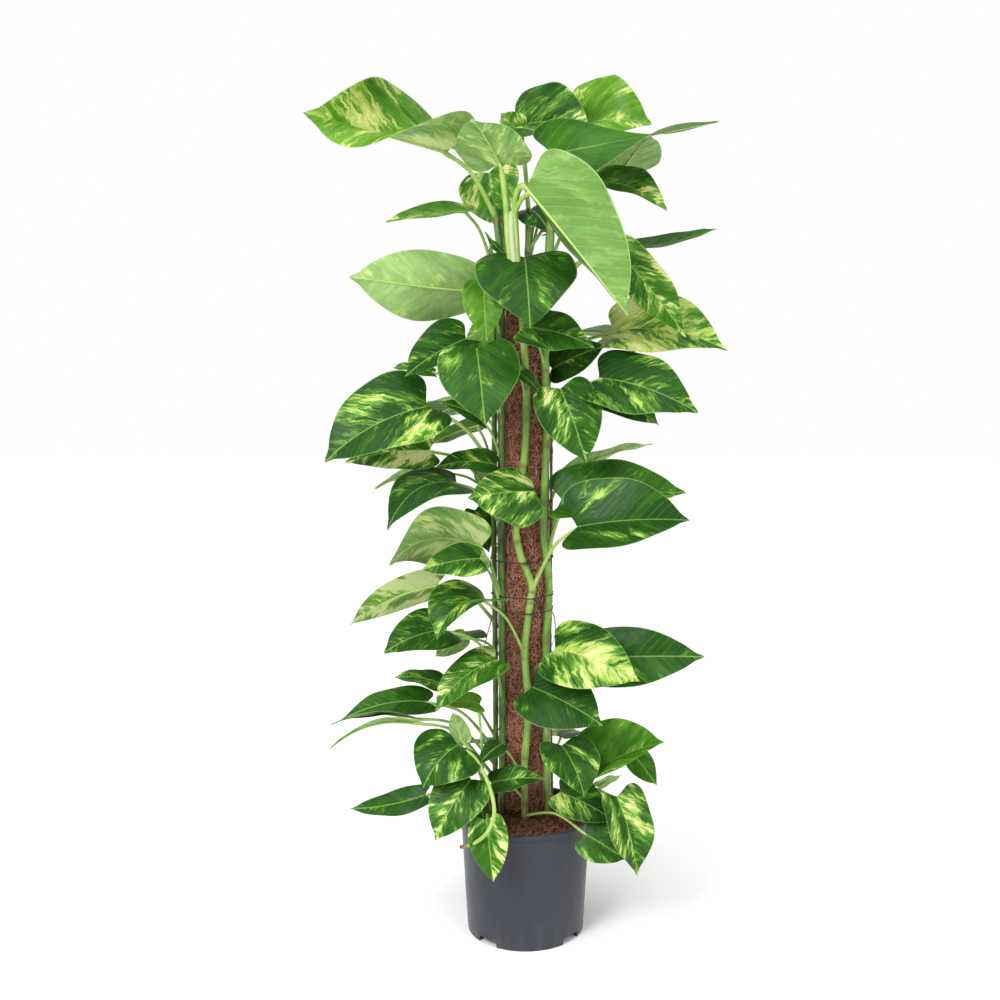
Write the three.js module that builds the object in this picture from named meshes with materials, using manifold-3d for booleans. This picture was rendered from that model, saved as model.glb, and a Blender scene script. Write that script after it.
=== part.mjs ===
// A variegated climbing pothos on a coir pole, in a round nursery pot.
// Millimetres, +Z up. The origin is the centre of the pot's foot, on the surface it stands on, and -Y is
// the front. Each climbing stem is one node: its leaf stalks and blades grow from it as one body.
import * as THREE from "three";
import { mergeVertices } from "three/addons/utils/BufferGeometryUtils.js";
import Module from "manifold-3d";

const wasm = await Module();
wasm.setup();

// ---- driving dimensions ----
const GAP = 0.3; // between pieces that touch
const POT_SEGMENTS = 28;
const POT_HEIGHT = 170;
const RIM_RADIUS = 95; // outside of the rolled lip
const FOOT_RADIUS = 82; // outside of the foot
const WALL = 2; // pot wall
const LIP_HEIGHT = 6;
const LIP_OVERHANG = 4; // beyond the wall
const LIP_EDGE = 1.4; // width of the lip's rounded edges
const BAND_HEIGHT = 17; // stiffer band below the lip
const BAND_STEP = 1.2; // how far the band stands out from the wall
const FLOOR_LEVEL = 10; // underside of the pot's floor, above the foot ring's lower face
const FLOOR_TOP = FLOOR_LEVEL + 2.2;
const FOOT_RING_WIDTH = 5;
const NOTCH_ANGLES = [-40, 50, 140, 230]; // degrees from the front, in the foot ring
const NOTCH_WIDTH = 30;
const DRAIN_RADIUS = 5;
const DRAIN_INSET = 12; // of a drain hole's centre, from the foot's outside
const BOSS_RADIUS = 17; // centre foot under the pot's floor
const SOIL_EDGE = 160; // height of the soil at the pot's wall
const SOIL_CENTRE = 176; // and at the pole
const SOIL_SLOPE = [[62, SOIL_EDGE + 5], [44, SOIL_CENTRE - 3]]; // radius and height, between the two
const POLE_TOP = 926;
const POLE_LEAN = 0.006; // sideways, for each millimetre of height
const CORE_RADIUS = 11;
const COIR_RADIUS = 26.5;
const COIR_BOTTOM = 120;
const COIR_LUMP = 0.7;
const ROOTED_DEPTH = 118; // how low the stems' cut ends stand in the soil
const STEM_CLEARANCE = 0.4; // round each stem, in its hole in the soil
const BLADE_THICKNESS = 0.9;
const LONG_BLADE = 140; // from here on a blade gets one more pair of ribs
const BROAD_BLADE = 126; // and from here on a joint along the middle of each half
const LOBE_DEPTH = 4; // how far the lobes reach back past the notch, and how soon they end
const LOBE_LENGTH = 0.13;
const SHOULDER = 0.66; // how near the notch a blade is widest
const ROUNDNESS = 0.92; // of its lobes
const VEIN_SWEEP = 1.7; // how far the side veins lean towards the tip
const CUP = 0.25; // how far the margins bend down
const RIPPLE = 0.03; // height and number of the waves along a margin
const RIPPLE_TURNS = 9;
const STALK_BOW = 0.16; // upward, as a share of a stalk's reach
const STALK_HOLD = 0.04; // how far past the notch a stalk holds the midrib
const STALK_SINK = 0.3; // and how far under the upper face
const stalkRadius = (bladeLength) => 1.9 + Math.max(0, bladeLength - 90) * 0.012;
const OLD_STEM_RADIUS = 2;
const OLD_STEM = [[37, -3, ROOTED_DEPTH], [37, -3, SOIL_EDGE], [37, -3, 190], [34, -3, 420], [35, -3, 600],
  [34, -3, 724]];
const TIE_HEIGHTS = [462, 483, 532, 870];
const TIE_RADIUS = 0.9;
const TIE_SLACK = 0.6; // between a tie and the stems that carry it
const TIE_SLANT = 0.05;
const TIE_BENDS = [-0.7, 0, 0.7]; // where a tie bends round a stem, in radians from straight outward
const CLIMBING_STEMS = 7; // the first of the stems below; the others are shoots in the soil

// ---- shared tools ----
function solid(geometry) {
  geometry.deleteAttribute("normal");
  geometry.deleteAttribute("uv");
  const merged = mergeVertices(geometry, 1e-3);
  const mesh = new wasm.Mesh({
    numProp: 3,
    vertProperties: merged.attributes.position.array,
    triVerts: new Uint32Array(merged.index.array),
  });
  return new wasm.Manifold(mesh);
}

const group = new THREE.Group();

function addNode(name, body, color, roughness) {
  const { vertProperties, triVerts } = body.getMesh();
  const geometry = new THREE.BufferGeometry();
  geometry.setAttribute("position", new THREE.BufferAttribute(vertProperties, 3));
  geometry.setIndex(new THREE.BufferAttribute(triVerts, 1));
  geometry.computeVertexNormals();
  const material = new THREE.MeshStandardMaterial({ color, roughness, metalness: 0 });
  const mesh = new THREE.Mesh(geometry, material);
  mesh.name = name;
  group.add(mesh);
}

const vector = ([x, y, z]) => new THREE.Vector3(x, y, z);
const radians = THREE.MathUtils.degToRad;

function circle(radius, sides) {
  const points = [];
  for (let i = 0; i < sides; i++) {
    const angle = (2 * Math.PI * i) / sides;
    points.push(new THREE.Vector2(radius * Math.cos(angle), radius * Math.sin(angle)));
  }
  return new THREE.Shape(points);
}

// A round tube of few sides along a smooth curve through the points.
function tube(points, radius, sides, steps) {
  const path = new THREE.CatmullRomCurve3(points, false, "centripetal");
  return solid(new THREE.ExtrudeGeometry(circle(radius, sides), { steps, extrudePath: path }));
}

// A closed three-sided wire through level points round the Z axis.
function wireLoop(points, radius) {
  const corners = [[-1, 0], [0.6, -0.9], [0.6, 0.9]]; // outward and up, the first on the loop's inside
  const positions = [];
  const indices = [];
  points.forEach(([x, y, z], i) => {
    const angle = Math.atan2(y, x);
    for (const [out, up] of corners) {
      const spread = radius * out;
      positions.push(x + spread * Math.cos(angle), y + spread * Math.sin(angle), z + radius * up);
    }
    const next = (i + 1) % points.length;
    corners.forEach((_, side) => {
      const beside = (side + 1) % corners.length;
      const [a, b] = [3 * i + side, 3 * i + beside];
      const [c, d] = [3 * next + beside, 3 * next + side];
      indices.push(a, c, b, a, d, c);
    });
  });
  const geometry = new THREE.BufferGeometry();
  geometry.setAttribute("position", new THREE.Float32BufferAttribute(positions, 3));
  geometry.setIndex(indices);
  return solid(geometry);
}

// An upright body of revolution from a closed profile of [radius, height] pairs.
function turned(profile, segments) {
  const points = profile.map(([radius, height]) => new THREE.Vector2(radius, height));
  return solid(new THREE.LatheGeometry(points, segments).rotateX(Math.PI / 2));
}

function uprightCylinder(radius, low, high, sides, x = 0, y = 0) {
  const geometry = new THREE.CylinderGeometry(radius, radius, high - low, sides);
  return solid(geometry.rotateX(Math.PI / 2).translate(x, y, (low + high) / 2));
}

// ---- pot: one moulded piece with a rolled lip, a floor above a notched foot ring, and drain holes ----
const WALL_SLOPE = (RIM_RADIUS - LIP_OVERHANG - FOOT_RADIUS) / POT_HEIGHT;
const outside = (height) => FOOT_RADIUS + WALL_SLOPE * height;

function makePot() {
  const bandLow = POT_HEIGHT - LIP_HEIGHT - BAND_HEIGHT;
  const lipLow = POT_HEIGHT - LIP_HEIGHT;
  const profile = [
    [0, 0],
    [BOSS_RADIUS, 0],
    [BOSS_RADIUS, FLOOR_LEVEL],
    [FOOT_RADIUS - FOOT_RING_WIDTH, FLOOR_LEVEL],
    [FOOT_RADIUS - FOOT_RING_WIDTH, 0],
    [FOOT_RADIUS, 0],
    [outside(bandLow), bandLow],
    [outside(bandLow) + BAND_STEP, bandLow + BAND_STEP],
    [outside(lipLow) + BAND_STEP, lipLow],
    [RIM_RADIUS - LIP_EDGE / 2, lipLow],
    [RIM_RADIUS, lipLow + LIP_EDGE],
    [RIM_RADIUS, POT_HEIGHT - LIP_EDGE],
    [RIM_RADIUS - LIP_EDGE, POT_HEIGHT],
    [outside(POT_HEIGHT) - WALL, POT_HEIGHT - LIP_EDGE / 2],
    [outside(FLOOR_TOP) - WALL, FLOOR_TOP],
    [0, FLOOR_TOP],
  ];
  let pot = turned(profile, POT_SEGMENTS);
  for (const angle of NOTCH_ANGLES) {
    const turn = radians(angle);
    const notch = new THREE.BoxGeometry(NOTCH_WIDTH, 3 * FOOT_RING_WIDTH, 2 * FLOOR_LEVEL)
      .translate(0, -FOOT_RADIUS, 0)
      .rotateZ(turn);
    pot = pot.subtract(solid(notch));
    const x = (FOOT_RADIUS - DRAIN_INSET) * Math.sin(turn);
    const y = -(FOOT_RADIUS - DRAIN_INSET) * Math.cos(turn);
    pot = pot.subtract(uprightCylinder(DRAIN_RADIUS, 0, 2 * FLOOR_LEVEL, 10, x, y));
  }
  return pot;
}

// ---- pole: a wooden stake in a wrapped coir sleeve ----
const poleX = (height) => POLE_LEAN * (height - 500);

function leaningTube(radius, low, high, sides, rings, lump = 0) {
  const positions = [];
  const indices = [];
  for (let ring = 0; ring <= rings; ring++) {
    const height = low + ((high - low) * ring) / rings;
    for (let side = 0; side < sides; side++) {
      const angle = (2 * Math.PI * side) / sides;
      const swell = lump * Math.sin(3 * angle + 2.1 * ring) * Math.cos(1.7 * ring + side);
      const reach = radius + swell;
      positions.push(poleX(height) + reach * Math.cos(angle), reach * Math.sin(angle), height);
    }
  }
  for (let ring = 0; ring < rings; ring++) {
    for (let side = 0; side < sides; side++) {
      const next = (side + 1) % sides;
      const a = ring * sides + side;
      const b = ring * sides + next;
      indices.push(a, b, b + sides, a, b + sides, a + sides);
    }
  }
  const bottom = positions.length / 3;
  positions.push(poleX(low), 0, low, poleX(high), 0, high);
  for (let side = 0; side < sides; side++) {
    const next = (side + 1) % sides;
    indices.push(bottom, next, side);
    indices.push(bottom + 1, rings * sides + side, rings * sides + next);
  }
  const geometry = new THREE.BufferGeometry();
  geometry.setAttribute("position", new THREE.Float32BufferAttribute(positions, 3));
  geometry.setIndex(indices);
  return solid(geometry);
}

// ---- blades and stalks ----
// The outline of a heart-shaped blade of length 1: s runs from the notch at the stalk round one lobe to
// the tip, and gives the distance along the midrib and the half width.
const outlineAlong = (s) => s * (1 - LOBE_DEPTH * Math.exp(-s / LOBE_LENGTH));
const outlineHalfWidth = (s) => 0.5 * Math.sin(Math.PI * s ** SHOULDER) ** ROUNDNESS;
const veinFoot = (s) => s ** VEIN_SWEEP; // where the side vein that ends at s leaves the midrib

// A leaf's own frame: base, tip, the way its upper face looks at the base and at the tip, and its arch.
function leafFrame(leaf) {
  const base = vector(leaf.base);
  const along = vector(leaf.tip).sub(base);
  const length = along.length();
  along.normalize();
  const faceAt = (share) => {
    const face = vector(leaf.face).lerp(vector(leaf.tipFace), share);
    return face.addScaledVector(along, -face.dot(along)).normalize();
  };
  return { base, along, length, faceAt };
}

// A point of the leaf's middle surface: a along the midrib, v across it, both in blade lengths.
function leafPoint(leaf, frame, a, v, lift = 0) {
  const share = THREE.MathUtils.clamp(a, 0, 1);
  const face = frame.faceAt(share);
  const slope = 4 * leaf.arch * (1 - 2 * share);
  const along = frame.along.clone().addScaledVector(face, slope).normalize();
  const normal = face.clone().addScaledVector(frame.along, -slope).normalize();
  const side = new THREE.Vector3().crossVectors(frame.along, face).normalize();
  const fold = radians(leaf.fold);
  const turn = RIPPLE_TURNS * share + 5 * leaf.arch + (v < 0 ? 2 : 0);
  const ripple = 2 * RIPPLE * Math.abs(v) * Math.sin(turn);
  const height = Math.abs(v) * Math.sin(fold) - CUP * v * v + ripple;
  return frame.base
    .clone()
    .addScaledVector(frame.along, share * frame.length)
    .addScaledVector(along, (a - share) * frame.length)
    .addScaledVector(face, 4 * leaf.arch * share * (1 - share) * frame.length)
    .addScaledVector(side, v * Math.cos(fold) * frame.length)
    .addScaledVector(normal, height * frame.length + lift);
}

// A closed blade: ribs from the midrib to the margin, alike on both faces, joined round the margin.
function makeBlade(leaf, frame) {
  const rows = frame.length > LONG_BLADE ? 6 : 5;
  const columns = frame.length > BROAD_BLADE ? [-1, -0.55, 0, 0.55, 1] : [-1, 0, 1];
  const last = columns.length - 1;
  const positions = [];
  const indices = [];
  const addPoint = (a, v, lift) => {
    positions.push(...leafPoint(leaf, frame, a, v, lift).toArray());
    return positions.length / 3 - 1;
  };
  const layers = [BLADE_THICKNESS / 2, -BLADE_THICKNESS / 2].map((lift) => {
    const grid = [];
    for (let row = 0; row <= rows; row++) {
      const s = (row / rows) ** 1.25;
      const pointed = row === 0 || row === rows;
      if (pointed) {
        grid.push(Array(columns.length).fill(addPoint(row / rows, 0, lift)));
        continue;
      }
      const rib = columns.map((column) => {
        const reach = Math.abs(column);
        const a = veinFoot(s) * (1 - reach) + outlineAlong(s) * reach;
        return addPoint(a, column * outlineHalfWidth(s) * leaf.width, lift);
      });
      grid.push(rib);
    }
    return grid;
  });
  const [upper, lower] = layers;
  const face = (grid, row, column, outward) => {
    const [a, b] = [grid[row][column], grid[row][column + 1]];
    const [c, d] = [grid[row + 1][column + 1], grid[row + 1][column]];
    const corners = column < last / 2 ? [[a, b, c], [a, c, d]] : [[a, b, d], [b, c, d]];
    for (const [p, q, r] of corners) {
      if (p !== q && q !== r && r !== p) indices.push(...(outward ? [p, q, r] : [p, r, q]));
    }
  };
  for (let row = 0; row < rows; row++) {
    for (let column = 0; column < last; column++) {
      face(upper, row, column, true);
      face(lower, row, column, false);
    }
    for (const column of [0, last]) {
      const [a, b] = [upper[row][column], upper[row + 1][column]];
      const [c, d] = [lower[row][column], lower[row + 1][column]];
      if (column === 0) indices.push(a, b, c, b, d, c);
      else indices.push(a, c, b, b, c, d);
    }
  }
  const geometry = new THREE.BufferGeometry();
  geometry.setAttribute("position", new THREE.Float32BufferAttribute(positions, 3));
  geometry.setIndex(indices);
  return solid(geometry);
}

// A stem's whole route: a straight foot in the soil, then the hand-set points.
function stemRoute({ foot: [x, y], route }) {
  return [[x, y, ROOTED_DEPTH], [x, y, SOIL_EDGE], [x, y, SOIL_CENTRE + 4], ...route];
}

// The point of a stem at a height.
function stemPoint(route, height) {
  for (let i = 1; i < route.length; i++) {
    const [low, high] = [route[i - 1], route[i]];
    if (height <= high[2]) {
      return vector(low).lerp(vector(high), (height - low[2]) / (high[2] - low[2]));
    }
  }
  return vector(route[route.length - 1]);
}

// A stalk from the stem to just past the blade's notch, where it holds the midrib.
function makeStalk(leaf, frame, route) {
  const root = stemPoint(route, leaf.node);
  const hold = leafPoint(leaf, frame, STALK_HOLD, 0, -STALK_SINK);
  const middle = root.clone().lerp(hold, 0.5);
  middle.z += STALK_BOW * root.distanceTo(hold);
  return tube([root, middle, hold], stalkRadius(frame.length), 4, 3);
}

// name, stem radius, route of the stem, and its leaves. A leaf gives the height of its node on the stem,
// where the blade starts, its tip, the way its upper face looks, its width as a share of its length, how
// far it arches, how many degrees its halves fold up, and, where it twists, the way the tip's face looks.
const STEMS = [
  {
    name: "stem_left", radius: 5, foot: [-33, -17], route: [[-32, -16, 260], [-32, -15, 400],
      [-33, -15, 540], [-32, -17, 680], [-32, -16, 820], [-34, -14, 950], [-40, -12, 1000]],
    leaves: [
      [985, [-101, -12, 1068], [-276, -76, 1108], [0, 0, 1], 0.95, 0, 38, [0, -0.85, -0.14]],
      [825, [-54, -42, 900], [-49, -72, 826], [-0.1, -0.9, 0.35], 0.7, 0.08, 8],
      [725, [-62, -70, 816], [-50, -130, 724], [0, -0.8, 0.55], 0.96, 0.06, 8],
      [640, [-128, -62, 742], [-255, -100, 674], [-0.15, -0.75, 0.65], 0.88, 0.12, 18],
      [665, [-56, -34, 721], [-112, -52, 746], [0, -0.7, 0.7], 0.55, 0.1, 20],
      [600, [-40, -32, 663], [-121, -56, 661], [0, -0.7, 0.7], 0.5, 0.12, 15],
      [580, [-90, -60, 642], [-176, -106, 587], [-0.45, -0.62, 0.65], 0.8, 0.25, 10, [-1, -0.75, 0]],
      [475, [-58, -42, 554], [-178, -78, 536], [0, 0.8, 0.6], 0.95, 0.26, 8],
      [460, [-60, -72, 544], [-135, -100, 534], [0, -0.8, 0.6], 0.62, 0.1, 5],
      [375, [-106, -42, 440], [-186, -85, 420], [-0.3, -0.7, 0.65], 0.85, 0.12, 16],
      [335, [-40, -52, 402], [-120, -90, 341], [-0.4, -0.7, 0.6], 0.58, 0.16, 10],
    ],
  },
  {
    name: "stem_left_rear", radius: 3.6, foot: [-44, 7], route: [[-42, 6, 260], [-42, 5, 420], [-43, 6, 560],
      [-42, 5, 700], [-43, 4, 840], [-46, 6, 950]],
    leaves: [
      [845, [-76, -16, 892], [-228, -45, 908], [0, 0.7, 0.7], 0.72, -0.02, 6, [0, 1, 0.15]],
      [930, [-75, -10, 993], [-182, -22, 978], [0, -0.3, 0.95], 0.5, 0.04, 15, [0, -0.6, 0.8]],
      [760, [-78, -28, 828], [-155, -60, 781], [0, -0.75, 0.65], 0.8, 0.08, 25],
      [615, [-127, -35, 682], [-235, -63, 669], [0, -0.8, 0.6], 0.53, 0.1, 5],
      [640, [-62, -5, 714], [-133, -20, 685], [0, 0.6, 0.75], 0.5, 0.05, 10],
      [440, [-117, -38, 502], [-233, -85, 455], [-0.1, 0.75, 0.6], 0.54, 0.09, 8],
      [275, [-110, -20, 357], [-179, -40, 374], [0, -0.5, 0.87], 0.5, 0.1, 8],
      [255, [-133, -35, 338], [-249, -62, 320], [0, -0.55, 0.83], 0.42, 0.13, 10],
      [235, [-148, -60, 322], [-258, -92, 324], [0, 0.3, 0.95], 0.38, 0.1, 10],
      [215, [-150, -80, 324], [-256, -117, 299], [0, 0.4, 0.9], 0.36, 0.12, 15],
    ],
  },
  {
    name: "stem_rear_left", radius: 4.2, foot: [-25, 31], route: [[-23, 28, 300], [-25, 27, 500],
      [-22, 29, 700], [-24, 28, 880], [-30, 26, 990]],
    leaves: [
      [975, [-84, 50, 1076], [-158, 66, 1092], [0, 0.1, 1], 0.45, 0.06, 10],
      [950, [-48, 28, 1046], [-31, -3, 972], [-0.35, -0.85, 0.2], 1.08, 0.1, 15],
      [790, [-44, 26, 846], [-80, 20, 800], [-0.2, -0.9, 0.3], 0.8, 0.04, 5],
      [715, [-125, 25, 782], [-179, 12, 789], [0, -0.6, 0.8], 0.5, 0.08, 8],
      [590, [-128, 10, 648], [-204, -8, 627], [0, 0.5, 0.85], 0.45, 0.08, 8],
      [530, [-70, 32, 592], [-50, 20, 534], [0.2, -0.95, 0.1], 0.6, 0.06, 5],
      [370, [-84, -8, 422], [-124, -22, 397], [-0.2, 0.8, 0.4], 0.8, 0.05, 5],
      [830, [-65, 70, 905], [-150, 140, 880], [-0.3, 0.3, 0.9], 0.65, 0.1, 10],
      [660, [-75, 75, 735], [-150, 150, 690], [-0.3, 0.6, 0.7], 0.68, 0.12, 10],
      [500, [-70, 75, 570], [-140, 140, 540], [-0.4, 0.4, 0.8], 0.65, 0.12, 8],
      [330, [-75, 70, 400], [-140, 130, 380], [-0.3, 0.4, 0.85], 0.66, 0.1, 10],
      [180, [-45, 80, 240], [-110, 145, 200], [-0.3, 0.5, 0.8], 0.7, 0.12, 8],
    ],
  },
  {
    name: "stem_front", radius: 4.8, foot: [-1, -39], route: [[-1, -37, 255], [4, -37, 330], [-1, -37, 416],
      [7, -37, 480], [9, -37, 500], [-6, -38, 540], [-14, -38, 585], [-6, -37, 640], [-1, -37, 680],
      [1, -37, 760], [-4, -37, 850], [-9, -42, 905], [-17, -52, 945], [-19, -55, 985]],
    leaves: [
      [982, [-32, -52, 1048], [-64, -132, 1092], [0.1, 0.5, 0.86], 1, 0.04, 6],
      [974, [1, -86, 1017], [123, -166, 858], [0.73, 0.63, 0.23], 0.74, 0.01, 46],
      [858, [-1, -54, 932], [6, -135, 843], [0, -0.72, 0.7], 1.08, 0.1, 8],
      [915, [-27, -42, 938], [-52, -50, 965], [-0.6, -0.5, 0.3], 0.35, 0.05, 35],
      [590, [12, -60, 631], [-74, -106, 629], [0, -0.85, 0.5], 0.9, 0.06, -14],
      [495, [67, -84, 588], [209, -111, 601], [0, -0.74, 0.67], 0.88, 0.06, 30],
      [405, [-52, -60, 484], [-114, -112, 446], [-0.6, -0.6, 0.5], 1.25, 0.25, 25],
      [740, [-9, -46, 786], [20, -49, 758], [0, -0.8, 0.5], 0.55, 0.1, 35],
      [215, [-33, -52, 284], [-63, -84, 266], [-0.1, -0.6, 0.8], 0.62, 0.1, 8],
      [200, [-46, -62, 232], [26, -87, 248], [0, -0.6, 0.8], 0.55, 0.1, 12],
      [178, [80, -94, 174], [134, -106, 144], [0.1, -0.9, 0.4], 0.9, 0.1, 8],
    ],
    runners: [
      [[-31, -53, 1045], [-25, -55, 1005], [-22, -59, 955], [-17, -65, 909]],
      [[1, -86, 1017], [-7, -74, 1018], [-13, -62, 1000], [-12, -62, 955], [-9, -67, 909]],
      [[-18, -60, 990], [-17, -64, 955], [-13, -68, 908]],
    ],
  },
  {
    name: "stem_right", radius: 4.8, foot: [31, -25], route: [[29, -23, 300], [28, -23, 419], [32, -19, 500],
      [24, -29, 570], [24, -28, 611], [28, -24, 693], [26, -26, 800], [28, -23, 900], [32, -12, 980]],
    leaves: [
      [970, [34, -40, 1062], [245, -48, 1101], [0, -3, 0.5], 0.46, 0, 5, [0, 1.5, 6]],
      [890, [118, -42, 940], [206, -58, 831], [0.5, -0.85, 0.1], 0.5, 0.04, 8],
      [790, [-2, -59, 844], [88, -66, 818], [0.1, -0.8, 0.6], 0.7, 0.1, 10],
      [710, [96, -42, 778], [220, -88, 736], [0, -0.78, 0.62], 0.74, 0.1, 11],
      [690, [45, -57, 765], [78, -88, 672], [0.1, -0.93, 0.3], 0.84, 0.1, 8],
      [535, [51, -23, 611], [213, -39, 626], [0, -0.7, 0.72], 0.66, 0.05, 28],
      [350, [39, -60, 419], [148, -115, 391], [0.1, -0.85, 0.5], 0.78, 0.12, 8],
      [285, [10, -56, 365], [102, -99, 326], [0.1, -0.82, 0.55], 0.88, 0.1, 8],
    ],
  },
  {
    name: "stem_rear_right", radius: 4.2, foot: [31, 25], route: [[29, 23, 300], [30, 21, 500],
      [28, 24, 700], [30, 21, 880], [36, 22, 980]],
    leaves: [
      [976, [70, 92, 1112], [168, 40, 1110], [-0.2, -0.85, 0.55], 1.28, 0.12, 28],
      [930, [96, 22, 1034], [182, -35, 992], [0, -0.6, 0.8], 0.64, 0.1, 25],
      [885, [150, 48, 950], [255, 18, 973], [0, -0.4, 0.9], 0.45, -0.04, 15],
      [770, [119, 28, 836], [265, -30, 813], [-0.1, -0.65, 0.75], 0.78, 0.12, 18],
      [735, [36, 10, 788], [108, -8, 820], [-0.2, -0.85, 0.45], 0.66, 0.06, 5],
      [685, [112, 0, 746], [178, -20, 714], [0, -0.75, 0.65], 0.62, 0.12, 12],
      [590, [56, 6, 646], [170, -18, 689], [0, 0.4, 0.9], 0.36, 0.06, 10],
      [340, [90, -20, 395], [241, -48, 405], [0, -0.9, 0.4], 0.55, 0.08, 8],
      [765, [70, 70, 835], [160, 140, 800], [0.3, 0.4, 0.85], 0.66, 0.12, 8],
      [670, [75, 75, 745], [150, 150, 715], [0.4, 0.4, 0.8], 0.66, 0.1, 10],
      [555, [75, 75, 625], [160, 140, 600], [0.3, 0.4, 0.85], 0.62, 0.12, 8],
      [330, [75, 70, 400], [155, 130, 375], [0.4, 0.4, 0.8], 0.64, 0.1, 8],
      [180, [50, 80, 250], [110, 150, 215], [0.3, 0.5, 0.8], 0.7, 0.12, 8],
    ],
  },
  {
    name: "stem_rear", radius: 4.2, foot: [3, 39], route: [[1, 36, 300], [4, 35, 500], [0, 36, 700],
      [3, 35, 900], [4, 33, 1000]],
    leaves: [
      [1000, [-10, 80, 1112], [88, 18, 1099], [-0.3, -0.68, 0.67], 1.08, 0.1, 30],
      [945, [134, 60, 1057], [163, -10, 1088], [-0.1, 0.55, 0.8], 0.98, 0.06, 5],
      [990, [-9, 62, 1100], [-33, 42, 1125], [0.4, -0.7, -0.1], 1.15, 0.06, 5],
      [925, [55, 78, 1070], [99, 50, 1041], [0, -0.7, 0.6], 0.75, 0.08, 5],
      [930, [7, 46, 1000], [34, -10, 962], [0, -0.8, 0.5], 0.75, 0.1, 10],
      [940, [30, 85, 1040], [90, 172, 1010], [0.3, 0.3, 0.9], 0.68, 0.12, 8],
      [720, [-10, 92, 800], [-60, 182, 760], [-0.2, 0.4, 0.9], 0.66, 0.12, 8],
      [560, [-20, 95, 640], [-70, 185, 600], [-0.2, 0.4, 0.9], 0.64, 0.12, 8],
      [400, [12, 92, 470], [0, 182, 430], [0.9, 0.1, 0.4], 0.6, 0.1, 8],
      [250, [15, 92, 330], [60, 165, 300], [0.2, 0.4, 0.9], 0.68, 0.1, 8],
    ],
  },
  {
    name: "shoot_left", radius: 3.2, foot: [-50, -36], route: [[-58, -52, 235]],
    runners: [
      [[-89, -80, 291], [-68, -98, 283], [-52, -118, 263], [-42, -136, 239], [-41, -143, 219],
        [-50, -143, 197], [-67, -132, 178], [-85, -112, 164]],
    ],
    leaves: [
      [228, [-62, -48, 339], [-109, -66, 345], [0, -0.5, 0.85], 0.75, 0.1, 10],
      [215, [-86, -54, 290], [-98, -60, 332], [0.2, 0.9, 0.2], 0.7, 0.05, 8],
      [232, [-90, -80, 293], [-134, -115, 247], [-0.35, -0.8, 0.5], 1.4, 0.18, 8],
      [205, [-72, -95, 251], [-118, -125, 178], [-0.3, -0.85, 0.4], 0.84, 0.14, 8],
      [190, [-136, -62, 216], [-236, -90, 208], [0, -0.75, 0.65], 0.36, -0.12, 10],
      [200, [-51, -122, 205], [-42, -135, 126], [0, -1, 0.15], 0.66, 0.05, 12],
      [185, [-62, -100, 228], [-52, -112, 188], [0.1, -0.9, 0.4], 0.5, 0.05, 8],
    ],
  },
  {
    name: "shoot_right", radius: 3.2, foot: [50, -33], route: [[60, -44, 235]],
    leaves: [
      [225, [48, -82, 293], [76, -128, 240], [0.4, -0.7, 0.6], 1.15, 0.1, 16],
      [230, [98, -50, 249], [187, -62, 290], [-0.3, -0.62, 0.75], 1.3, 0.08, 50],
      [215, [147, -20, 262], [181, -30, 218], [0, -0.9, 0.3], 0.65, 0.08, 5],
      [210, [98, -60, 228], [130, -70, 247], [0, 0.7, 0.7], 0.6, 0.05, 5],
      [205, [122, -87, 224], [148, -110, 123], [0.6, -0.8, 0.2], 0.78, 0.06, 20],
      [195, [46, -77, 226], [119, -90, 190], [0, -0.7, 0.7], 0.72, 0.1, 8],
    ],
  },
];

function readLeaf([node, base, tip, face, width, arch, fold, tipFace = face]) {
  return { node, base, tip, face, tipFace, width, arch, fold };
}

function stemTube(route, radius) {
  return tube(route.map(vector), radius, 6, Math.round(1.5 * route.length) - 3);
}

for (const stem of STEMS) {
  const route = stemRoute(stem);
  let body = stemTube(route, stem.radius);
  for (const row of stem.leaves) {
    const leaf = readLeaf(row);
    const frame = leafFrame(leaf);
    body = body.add(makeStalk(leaf, frame, route)).add(makeBlade(leaf, frame));
  }
  for (const runner of stem.runners ?? []) {
    body = body.add(tube(runner.map(vector), stem.radius - 0.6, 5, 7));
  }
  addNode(stem.name, body, 0x4f8a2c, 0.4);
}

// ---- old stem: a bare brown vine up the pole's right side ----
addNode("old_stem", stemTube(OLD_STEM, OLD_STEM_RADIUS), 0x6b4a30, 0.8);

// ---- ties: thin wires drawn tight round the stems on the pole ----
function makeTie(height) {
  const tied = STEMS.slice(0, CLIMBING_STEMS).map((stem) => [stemRoute(stem), stem.radius]);
  tied.push([OLD_STEM, OLD_STEM_RADIUS]);
  const bends = [];
  for (const [route, radius] of tied) {
    if (route[route.length - 1][2] < height) continue;
    const centre = stemPoint(route, height);
    const outward = Math.atan2(centre.y, centre.x);
    const reach = radius + TIE_SLACK + TIE_RADIUS;
    for (const bend of TIE_BENDS) {
      const x = centre.x + reach * Math.cos(outward + bend);
      const y = centre.y + reach * Math.sin(outward + bend);
      bends.push([x, y, height + TIE_SLANT * x]);
    }
  }
  bends.sort((a, b) => Math.atan2(a[1], a[0]) - Math.atan2(b[1], b[0]));
  return wireLoop(bends, TIE_RADIUS);
}

TIE_HEIGHTS.forEach((height, i) => addNode(`tie_${i + 1}`, makeTie(height), 0x22251f, 0.6));

// ---- pot, soil and pole ----
addNode("pot", makePot(), 0x4b4d55, 0.5);

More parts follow.
